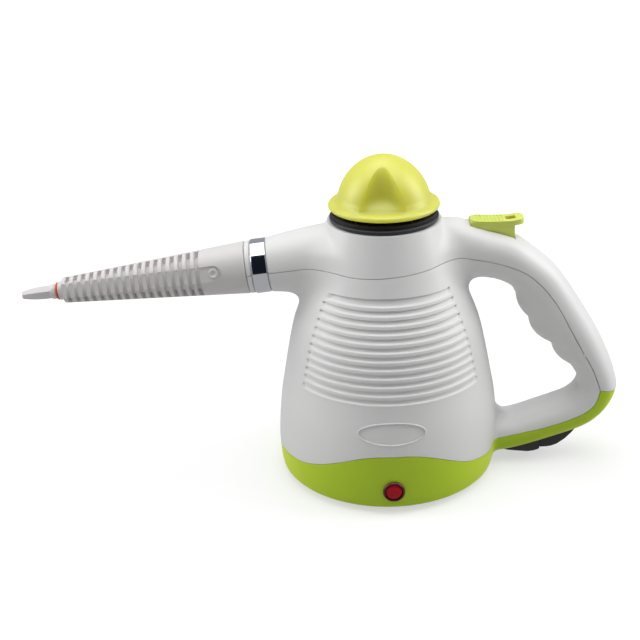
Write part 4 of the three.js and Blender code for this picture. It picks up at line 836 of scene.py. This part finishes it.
nozzle_profile += [(front_radius, fins_end + 0.1), (front_radius, front_end - 0.3), (front_radius - 0.3, front_end),
                   (3.2, front_end), (3.2, front_end - 6), (2.0, front_end - 6), (2.0, socket_end),
                   (socket_radius, socket_end)]
nozzle_bm = spin_profile(nozzle_profile, 180)
side_depth, edge_depth = 2.6, 3.9
side_end, rib_start = 49, 75


def groove_depths(points):
    """Gives each groove its depth: least at the front and back, more above and below, none along the rib."""
    turn, radius, s = polar(points)
    off_front = np.degrees(np.arctan2(np.abs(points[:, 0]), np.abs(points[:, 1])))
    full = nozzle_radius(s)
    drawn = np.where((s > fins_start - 0.01) & (s < fins_end - 0.2) & (full - radius < 1.2), full - radius, 0)
    depth = np.where(off_front < side_end, side_depth, edge_depth) * (0.4 + 0.6 * full / sleeve_radius)
    depth = np.where(off_front > rib_start, 0.0, depth)
    return from_polar(turn, np.where(drawn > 0, full - drawn * depth, radius), s)


move_points(nozzle_bm, groove_depths)
nozzle_thing = solid_of(nozzle_bm, "nozzle_cone")

flat_start = nozzle_start + 18.0
flat_half, flat_depth, boss_radius = 4.5, 1.3, 2.9
lean = math.atan2(sleeve_radius - fin_end_radius, fins_end - nozzle_start)
flat_turns = np.linspace(-math.pi / 2, math.pi / 2, 25)
flat_outline = [(flat_half * math.sin(t), -flat_half * math.cos(t)) for t in flat_turns]
flat_outline += [(flat_half, 95), (-flat_half, 95)]
flat_bm = bmesh.new()
push_out(flat_bm, [flat_bm.faces.new([flat_bm.verts.new((x, 0, z)) for x, z in flat_outline])], (0, -15, 0))
flat_place = Matrix.Translation((0, 0, flat_start)) @ Matrix.Rotation(-lean, 4, "X") @ Matrix.Translation(
    (0, -(nozzle_radius(flat_start) - flat_depth), 0))
bmesh.ops.transform(flat_bm, matrix=flat_place, verts=flat_bm.verts)
boss_bm = spin_profile([
    (0, -1.0), (boss_radius, -1.0), (boss_radius, 0.6), (boss_radius - 0.3, 0.95), (2.0, 0.95), (1.6, 0.6),
    (0.95, 0.5), (0.7, 0.2), (0, 0.2),
], 48, flat_place @ to_front)
for form, name, operation in ((flat_bm, "nozzle_flat", "DIFFERENCE"), (boss_bm, "nozzle_boss", "UNION")):
    front_one = solid_of(form, name)
    back_one = copy_of(front_one, name + "_back")
    back_one.data.transform(Matrix.Rotation(math.pi, 4, "Z"))
    cut_forms(nozzle_thing, [front_one, back_one], operation)
nozzle_thing.data.transform(nozzle_roll)
nozzle_plastic = moulded_plastic("nozzle_plastic", (0.73, 0.70, 0.70), 0.42)
finish_piece(nozzle_thing, nozzle_plastic, "nozzle", "nozzle", sharp=30)

orange_silicone = moulded_plastic("orange_silicone", (0.75, 0.11, 0.02), 0.45, grain_depth=0.02)
tip_gap = 1.6
seal_mid, seal_half = front_end + tip_gap / 2, 0.62
seal_turns = np.linspace(0.15, math.pi - 0.15, 14)
seal_round = [(4.4 + 0.95 * math.sin(t), seal_mid - seal_half * math.cos(t)) for t in seal_turns]
seal_bm = spin_profile([(3.4, seal_mid - seal_half), *seal_round, (3.4, seal_mid + seal_half)], 64, nozzle_roll)
finish_piece(solid_of(seal_bm, "jet_seal_ring"), orange_silicone, "nozzle", "jet_seal")

jet_start = front_end + tip_gap
jet_places = [3.1, 6.4, 10.6, 14.9, 18.3, 20.2, 20.9, 21.2, 21.3]
jet_end = jet_start + jet_places[-1]
jet_across = [4.36, 4.44, 4.26, 3.8, 3.2, 2.7, 2.4, 2.1, 1.7]
jet_root = front_end - 5.7
jet_profile = [(1.5, jet_root), (2.9, jet_root), (2.9, jet_start), (4.3, jet_start), (4.55, jet_start + 0.25),
               (4.6, jet_start + 0.6), (4.6, jet_start + 2.3), (4.45, jet_start + 2.6)]
jet_rows = np.linspace(jet_places[0], jet_places[-1], 34)
jet_profile += [(float(r), jet_start + s) for s, r in zip(jet_rows, smooth_through(jet_across, jet_places, jet_rows))]
jet_profile += [(1.2, jet_end), (1.1, jet_end - 0.5), (1.1, jet_root)]
jet_bm = spin_profile(jet_profile, 96)


def six_flats(points):
    """Presses six flats into the jet beyond its collar, with an edge that faces the camera."""
    turn, radius, s = polar(points)
    blend = share(s - jet_start, 2.9, 0.8) * share(s - jet_start, 21.2, -1.5) * (radius > 1.4)
    sector = np.mod(turn + math.radians(20), math.pi / 3) - math.pi / 6
    flat = radius * 0.87 / np.cos(sector)
    return from_polar(turn, radius + blend * (np.minimum(radius, flat) - radius), s)


move_points(jet_bm, six_flats)
bmesh.ops.transform(jet_bm, matrix=nozzle_roll, verts=jet_bm.verts)
finish_piece(solid_of(jet_bm, "jet_tip_cone"), nozzle_plastic, "nozzle", "jet_tip")

# Filler collar: a dark slate-grey nylon ring with a flange, which clamps the top edge of the upper shell to the
# boiler's neck.
# Its upper wall lies in the shade under the cap's brim and is painted near black as painted shade. The cap's insert
# screws down into it.
black_plastic = moulded_plastic("black_nylon", (0.022, 0.021, 0.025), 0.36)
collar_bottom = height + 0.3
collar_top = collar_bottom + 4.6
collar_bm = spin_profile([(r, collar_bottom + z) for r, z in (
    (26.2, -6), (26.2, 0), (31.9, 0), (32.3, 0.4), (32.3, 1.9), (32.0, 2.3), (31.3, 2.6), (31.3, 4.2), (30.9, 4.6),
    (29.1, 4.6), (28.3, 2.4), (18.2, -2.4), (18.2, -6),
)], 160)
collar_plastic = moulded_plastic("collar_nylon", (0.035, 0.04, 0.046), 0.34, shine=0.35)
collar_tree = collar_plastic.node_tree
collar_shader = collar_tree.nodes["Principled BSDF"].inputs
collar_place = wire(collar_tree, "ShaderNodeTexCoord")
collar_split = wire(collar_tree, "ShaderNodeSeparateXYZ", collar_place.outputs["Object"])
# Painted shade: above the flange, the wall under the cap's brim is painted near black, and it is also made rougher.
collar_shaded_wall = wire(collar_tree, "ShaderNodeMath", collar_split.outputs["Z"], (collar_bottom + 2.35) * mm,
                   operation="GREATER_THAN")
collar_painted_shade = wire(collar_tree, "ShaderNodeMixRGB", collar_shaded_wall.outputs[0],
                    collar_shader["Base Color"].links[0].from_socket, (0.012, 0.008, 0.012, 1))
collar_tree.links.new(collar_painted_shade.outputs[0], collar_shader["Base Color"])
collar_gloss = wire(collar_tree, "ShaderNodeMapRange", collar_shaded_wall.outputs[0], 0.0, 1.0, 0.34, 0.62)
collar_tree.links.new(collar_gloss.outputs[0], collar_shader["Roughness"])
finish_piece(solid_of(collar_bm, "collar_ring"), collar_plastic, "housing", "collar", sharp=30)

# Cap: a lime knob of moulded ABS, a dome over a rolled brim, with a deep scoop for the thumb in front and one for
# the fingers behind. It turns the threaded insert under it only while it is pushed down.
cap_seat = collar_top + 2.7
cap_turn = Matrix.Translation((0, 0, cap_seat)) @ Matrix.Rotation(math.radians(-5), 4, "Z")
dome_radius, dome_top, brim_height = 27.0, 30.6, 3.6
dome_centre = dome_top - dome_radius
scoop_heights = [3.6, 14.0, 21.7, 26.5, 31.0]
scoop_radii = [24.0, 14.5, 8.8, 6.0, 4.0]
scoop_depths = [19.8, 18.0, 15.6, 12.8, 8.5]
scoop_cove, cove_height, cove_spread, scoop_edge = 6.5, 9.0, 0.7, 0.5
scoop_rim, clear_of_dome, scoop_floor = 30.0, 60.0, -0.4
sink_depth, lean_left = 0.55, 0.35


def cap_outline():
    """Rolled brim, hollow root and dome, from the brim's lower edge to the top."""
    brim = [
        (28.5, 0.0), (31.6, 0.0), (32.4, 0.25), (32.75, 0.8), (32.85, 1.4), (32.75, 2.0), (32.3, 2.6), (31.5, 3.1),
        (30.4, 3.45), (29.6, 3.7), (29.0, 4.0), (28.6, 4.4), (28.3, 4.9), (28.05, 5.4), (27.85, 5.9), (27.6, 6.5),
    ]
    start = math.asin((7.2 - dome_centre) / dome_radius)
    dome = []
    for rise in np.linspace(start, math.pi / 2, 60):
        radius = dome_radius * (1 - 0.02 * math.sin(2 * rise) ** 2)
        root = 0.35 * math.exp(-(rise - start) * 9)
        dome.append((radius * math.cos(rise) + root, dome_centre + radius * math.sin(rise)))
    return brim + dome[:-1] + [(0.0, dome_top)]


def press_scoops(points):
    """Presses the two scoops into the dome: steep at the top, with a floor that curves out to the brim."""
    turn, radius, z = polar(points)
    rise = z - brim_height
    across = smooth_through(scoop_radii, scoop_heights, z)
    cove = scoop_cove * share(rise, cove_height, -cove_height) ** 2
    result = radius.copy()
    for side in (-1, 1):
        centre = side * (smooth_through(scoop_depths, scoop_heights, z) + across)
        along = np.sin(turn) * centre
        off = np.arccos(np.clip(np.sin(turn) * side, -1, 1))
        inside = along**2 - (centre**2 - across**2)
        hit = along - np.sqrt(np.maximum(inside, 0)) + cove * np.clip(1 - (off / cove_spread) ** 2, 0, 1)
        near = np.where((inside > 0) & (along > 0), hit, clear_of_dome)
        edge = np.where((inside <= 0) & (along > 0), scoop_rim + 0.4 * np.sqrt(np.maximum(-inside, 0)), near)
        limit = np.where(rise > scoop_floor, edge, clear_of_dome)
        h = np.clip(0.5 + 0.5 * (limit - result) / scoop_edge, 0, 1)
        pressed = limit * (1 - h) + result * h - scoop_edge * h * (1 - h)
        result = np.where(rise > scoop_floor, result + share(rise, -0.35, 0.7) * (pressed - result), result)
    sunk = sink_depth * share(radius - result, 0, 2.5) * share(z, 5.4, -1.2) * (z > 3.3)
    return from_polar(turn, result, z - sunk) - np.outer(lean_left * share(z, 6, 20), [1, 0, 0])


# The room inside the knob: a bore clear of both scoops, which widens under the brim
cap_room = [(0, 19.5), (10.6, 19.5), (10.6, 4.2), (24.6, 1.2), (24.6, 0)]
cap_bm = spin_profile(cap_outline() + cap_room, 400)
move_points(cap_bm, press_scoops)
bmesh.ops.transform(cap_bm, matrix=cap_turn, verts=cap_bm.verts)
cap_plastic = moulded_plastic("lime_cap_plastic", (0.76, 0.76, 0.10), 0.38, shine=0.7, soft=0.8)
finish_piece(solid_of(cap_bm, "cap_knob_dome"), cap_plastic, "cap_grip", "cap_knob", sharp=50)

# Trigger: a lime lever, a ribbed pad over a wedge that dips into the shell when it is pressed. An orange slider
# at its rear end locks it.
trigger_place = Matrix.Translation((pin_x, 0, pin_z))


def round_edges(bm, offset, segments, past=30.0):
    """Rounds the edges of a form that are sharper than an angle in degrees."""
    edges = [edge for edge in bm.edges if edge.calc_face_angle(0) > math.radians(past)]
    bmesh.ops.bevel(bm, geom=edges, offset=offset, segments=segments, profile=0.5, affect="EDGES", material=-1,
                    clamp_overlap=True)


pad_top = [(4.6, 9.1), (9, 9.0), (18, 8.5), (27, 8.5), (33, 9.3), (36.3, 9.6)]
pad_places = np.linspace(pad_top[0][0], pad_top[-1][0], 24)
pad_heights = smooth_through([p[1] for p in pad_top], [p[0] for p in pad_top], pad_places)
pad_depths = [2.6 - 1.1 * max(0, (9 - x) / 4.4) + max(0, (x - 18) / 18) for x in pad_places]
pad_under = list(zip(pad_places, pad_heights - pad_depths))
pad_outline = list(zip(pad_places, pad_heights)) + pad_under[::-1]
trigger_thing = solid_of(side_piece(pad_outline, 14.0), "trigger_lever")
plan_bm = box_form((4.7, -6.5, 0), (36.2, 6.5, 16))
upright = [e for e in plan_bm.edges if abs(e.verts[0].co.z - e.verts[1].co.z) > 1]
bmesh.ops.bevel(plan_bm, geom=upright, offset=4.6, segments=14, profile=0.5, affect="EDGES", material=-1)
cut_forms(trigger_thing, [solid_of(plan_bm, "trigger_plan")], "INTERSECT")
rim_bm = bmesh.new()
rim_bm.from_mesh(trigger_thing.data)
bmesh.ops.remove_doubles(rim_bm, verts=rim_bm.verts, dist=0.001)
round_edges(rim_bm, 0.45, 3, past=50.0)


def undercut(points):
    """Draws the pad's lower edge in, so its side leans back under it."""
    below = np.interp(points[:, 0], pad_places, pad_heights) - points[:, 2]
    return np.column_stack([points[:, 0], points[:, 1] * (1 - 0.07 * share(below, 0.8, 1.8)), points[:, 2]])


move_points(rim_bm, undercut)
rim_bm.to_mesh(trigger_thing.data)
rim_bm.free()


def widen_blade(points):
    """The blade is as wide as its slot behind the pivot."""
    wide = np.where(points[:, 0] > 4.5, 1.19, 1.0)
    return np.column_stack([points[:, 0], points[:, 1] * wide, points[:, 2]])


blade_bm = side_piece([
    (-3.2, -1), (-1.4, -3), (1.6, -3), (12, -6.2), (30.6, -11), (30.6, 6.2), (18, 7), (4.6, 8.6), (4.4, 2.3),
    (-1.6, 2.3),
], 10.0)
round_edges(blade_bm, 0.3, 2)
move_points(blade_bm, widen_blade)
cut_forms(trigger_thing, [solid_of(blade_bm, "trigger_blade")], "UNION")
rib_first, rib_pitch, notch_length, notch_half, notch_depth, notch_high = 8.2, 2.1, 0.85, 5.2, 0.4, 16
notches = []
for i in range(8):
    x = rib_first + i * rib_pitch
    notch_floor = float(np.interp(x, pad_places, pad_heights)) - notch_depth
    notches.append(box_form((x, -notch_half, notch_floor), (x + notch_length, notch_half, notch_high)))
notches.append(box_form((25.6, -2.5, 5.6), (31.4, 2.5, notch_high)))
cut_forms(trigger_thing, [solid_of(notch, "notch") for notch in notches], "DIFFERENCE")
trigger_thing.data.transform(trigger_place)
trigger_plastic = moulded_plastic("lime_trigger_plastic", (0.76, 0.86, 0.15), 0.34, shine=0.7)
finish_piece(trigger_thing, trigger_plastic, "trigger", "trigger", sharp=40)

slider_bm = box_form((27.7, -2.2, 5.6), (31.1, 2.2, 7.2))
bmesh.ops.bevel(slider_bm, geom=slider_bm.edges[:], offset=0.3, segments=2, profile=0.5, affect="EDGES", material=-1)
bmesh.ops.transform(slider_bm, matrix=trigger_place, verts=slider_bm.verts)
orange_plastic = moulded_plastic("orange_slider_plastic", (0.72, 0.16, 0.02), 0.4)
finish_piece(solid_of(slider_bm, "lock_slider_block"), orange_plastic, "lock", "lock_slider")

# Pilot lamp: a dark red moulded bezel that clips into the front of the base, with a domed lens of translucent red
# acrylic pressed into it. The neon is behind the lens.
bezel_seat = body_radius + 0.5
bezel_bm = spin_profile([(r, bezel_seat + rise) for r, rise in (
    (5.2, -6), (5.7, -6), (5.7, 0), (6.3, 0), (6.5, 0.25), (6.45, 0.8), (6.1, 1.2), (5.5, 1.25), (5.2, 1.0),
)], 96, lamp_place)
bezel_plastic = moulded_plastic("dark_red_bezel", (0.09, 0.006, 0.008), 0.3)
finish_piece(solid_of(bezel_bm, "lamp_bezel_ring"), bezel_plastic, "housing", "lamp_bezel", sharp=40)

lens_radius, lens_edge, lens_dome = 4.9, body_radius + 0.9, 1.4
lens_profile = [(0, lens_edge - 6.7), (lens_radius, lens_edge - 6.7), (lens_radius, lens_edge)]
for rise in np.linspace(0.15, math.pi / 2, 10)[:-1]:
    lens_profile.append((lens_radius * math.cos(rise), lens_edge + lens_dome * math.sin(rise)))
lens_bm = spin_profile(lens_profile + [(0, lens_edge + lens_dome)], 96, lamp_place)
lens_plastic = moulded_plastic("red_lamp_lens", (0.44, 0.004, 0.014), 0.22, grain_size=700.0, grain_depth=0.5,
                               colour_change=0.5, shine=0.2)
finish_piece(solid_of(lens_bm, "lamp_lens_dome"), lens_plastic, "housing", "lamp_lens", sharp=60)

# Heel pad and cord gland: two black mouldings pressed into the underside of the arm. The first catches the tail
# when the machine tips back, and the cord comes in through the second.
pad_lower = [(72.4, 8.4), (76, 7.2), (80.8, 6.56), (88.8, 5.6), (92.5, 6.0), (95.6, 6.9), (96.4, 7.8)]
gland_lower = [(96.6, 8.0), (100.5, 8.0), (103.7, 8.4), (107.6, 9.8), (112.5, 13.5), (116.3, 17.6), (119.2, 21.4)]
bore_radius, bore_x = 3.5, 107.0


def under_arm(lower, width, name):
    """A moulding with an XZ outline from below and its upper side fitted to the arm."""
    outline = lower + [(lower[-1][0], lower[-1][1] + 7), (lower[0][0], lower[0][1] + 7)]
    bm = side_piece(outline, width)
    round_edges(bm, 0.4, 3)
    thing = solid_of(bm, name)
    cut_forms(thing, [solid_of(handle_form(48), "arm")], "DIFFERENCE")
    return thing


heel_pad = under_arm(pad_lower, 19.6, "heel_pad_block")
finish_piece(heel_pad, black_plastic, "housing", "heel_pad")
gland = under_arm(gland_lower, 17.4, "cord_gland_block")
bore_profile = [(0, -5), (bore_radius, -5), (bore_radius, 30), (0, 30)]
bore_bm = spin_profile(bore_profile, 48, Matrix.Translation((bore_x, 0, 0)))
cut_forms(gland, [solid_of(bore_bm, "cord_bore")], "DIFFERENCE")
finish_piece(gland, black_plastic, "housing", "cord_gland")

# Turned pieces that come to light when the nozzle or the cap is off: the black spigot with its orange ring, the
# brass filler neck, and the cap's insert, whose thread of 4 mm pitch runs in the neck.
slot_of = {part["node"]: part["material_slot"] for part in frame["record"]["subparts"]}
brass_metal = moulded_plastic("turned_brass", (0.56, 0.38, 0.13), 0.32, metal=1.0)
spigot_bm = spin_profile([
    (2.0, 48.0), (5.4, 48.0), (5.4, 62.2), (9.0, 62.2), (9.0, 93.05), (7.3, 93.05), (7.3, 95.85), (9.0, 95.85),
    (9.0, 100.6), (8.7, 101.3), (8.0, 101.6), (2.0, 101.6),
], 96, spout_turn)
finish_piece(solid_of(spigot_bm, "spigot_tube"), black_plastic, "housing", "spigot")
ring_turns = np.linspace(0, 2 * math.pi, 24, endpoint=False)
ring_bm = spin_profile([(8.45 + 0.85 * math.cos(t), 94.45 + 1.1 * math.sin(t)) for t in ring_turns], 96, spout_turn)
finish_piece(solid_of(ring_bm, "spigot_ring"), orange_silicone, "nozzle_seal", "spigot_seal")
neck_bm = spin_profile([(13.5, 117.5), (21.5, 117.5), (21.5, 121.5), (17.5, 121.5), (17.5, 160.1), (17.1, 160.5),
                        (13.9, 160.5), (13.5, 160.1)], 96)
finish_piece(solid_of(neck_bm, "filler_neck_tube"), brass_metal, "housing", "filler_neck")

thread_pitch, thread_rise, thread_low, thread_high = 4.0, 0.42, 147.6, 160.4
plug_radius = 12.9


def thread_points(points):
    """Raises a right-handed thread round the insert's plug."""
    turn, radius, z = polar(points)
    phase = np.mod(z / thread_pitch - turn / (2 * math.pi), 1)
    ridge = thread_rise * np.clip(1.6 - np.abs(phase - 0.5) * 6, 0, 1)
    ridge *= share(z, thread_low, 1.5) * share(z, thread_high, -1.5) * (np.abs(radius - plug_radius) < 0.01)
    return from_polar(turn, radius + ridge, z)


insert_bm = spin_profile(
    [(0, 162.3), (5, 162.3), (5, 148), (3.6, 148), (3.6, 146.6), (12.4, 146.6)]
    + [(plug_radius, float(z)) for z in np.arange(147.1, 163, 0.25)]
    + [(plug_radius, 163.1), (17.2, 163.1), (17.2, 164.8), (13.5, 164.97), (13.5, 165.5), (23, 165.5), (23, 167.7),
       (4, 167.7), (4, 183.2), (6.4, 183.2), (4, 186.3), (0, 186.3)], 96)
move_points(insert_bm, thread_points)
finish_piece(solid_of(insert_bm, "cap_insert_plug"), black_plastic, "cap_core", "cap_insert")

# Springs: four coils of drawn steel wire, under the cap, the relief plunger, the trigger and the valve's stem. Each
# stands on one fixed end; here it keeps the frame's shape and moves with its body, and is not shortened.
spring_steel = moulded_plastic("drawn_spring_steel", (0.46, 0.46, 0.47), 0.3, metal=1.0)


def spring_coil(node_name):
    """A coil of the frame's own shape, in spring steel, that moves with the body of its frame piece."""
    node = frame["nodes"][node_name]
    mesh = node.data.copy()
    mesh.transform(node.matrix_world)
    coil = bpy.data.objects.new(node_name + "_coil", mesh)
    bpy.context.scene.collection.objects.link(coil)
    dress(mesh, spring_steel, 50.0)
    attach(coil, body_of(node)[0])
    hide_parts(node_name)
    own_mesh(coil)


spring_coil("cap_spring")
spring_coil("relief_spring")
spring_coil("trigger_spring")
spring_coil("valve_spring")

# What stays as the frame has it: the pieces inside and under the machine, from the cast boiler and its steel bolts
# to the rubber feet. Each gets the finish of what it is made of.
cast_metal = moulded_plastic("cast_aluminium", (0.42, 0.43, 0.44), 0.5, grain_size=900.0, grain_depth=0.3, metal=1.0)
steel_metal = moulded_plastic("bright_steel", (0.5, 0.5, 0.51), 0.28, metal=1.0)
foot_rubber = moulded_plastic("foot_rubber", (0.02, 0.02, 0.02), 0.7, grain_depth=0.2)
ceramic = moulded_plastic("steatite", (0.72, 0.69, 0.6), 0.55)
finishes = {
    "white_shell": white_plastic, "lime_base": lime_plastic, "lime_cap": cap_plastic, "black_plastic": black_plastic,
    "nozzle_plastic": nozzle_plastic, "chrome": chrome_metal, "steel": steel_metal, "brass": brass_metal,
    "cast_aluminium": cast_metal, "rubber": foot_rubber, "orange_rubber": orange_silicone,
    "orange_plastic": orange_plastic, "red_lens": lens_plastic, "ceramic": ceramic,
}
for name, node in frame["nodes"].items():
    dress(node.data, finishes[slot_of[name]], 38.0)
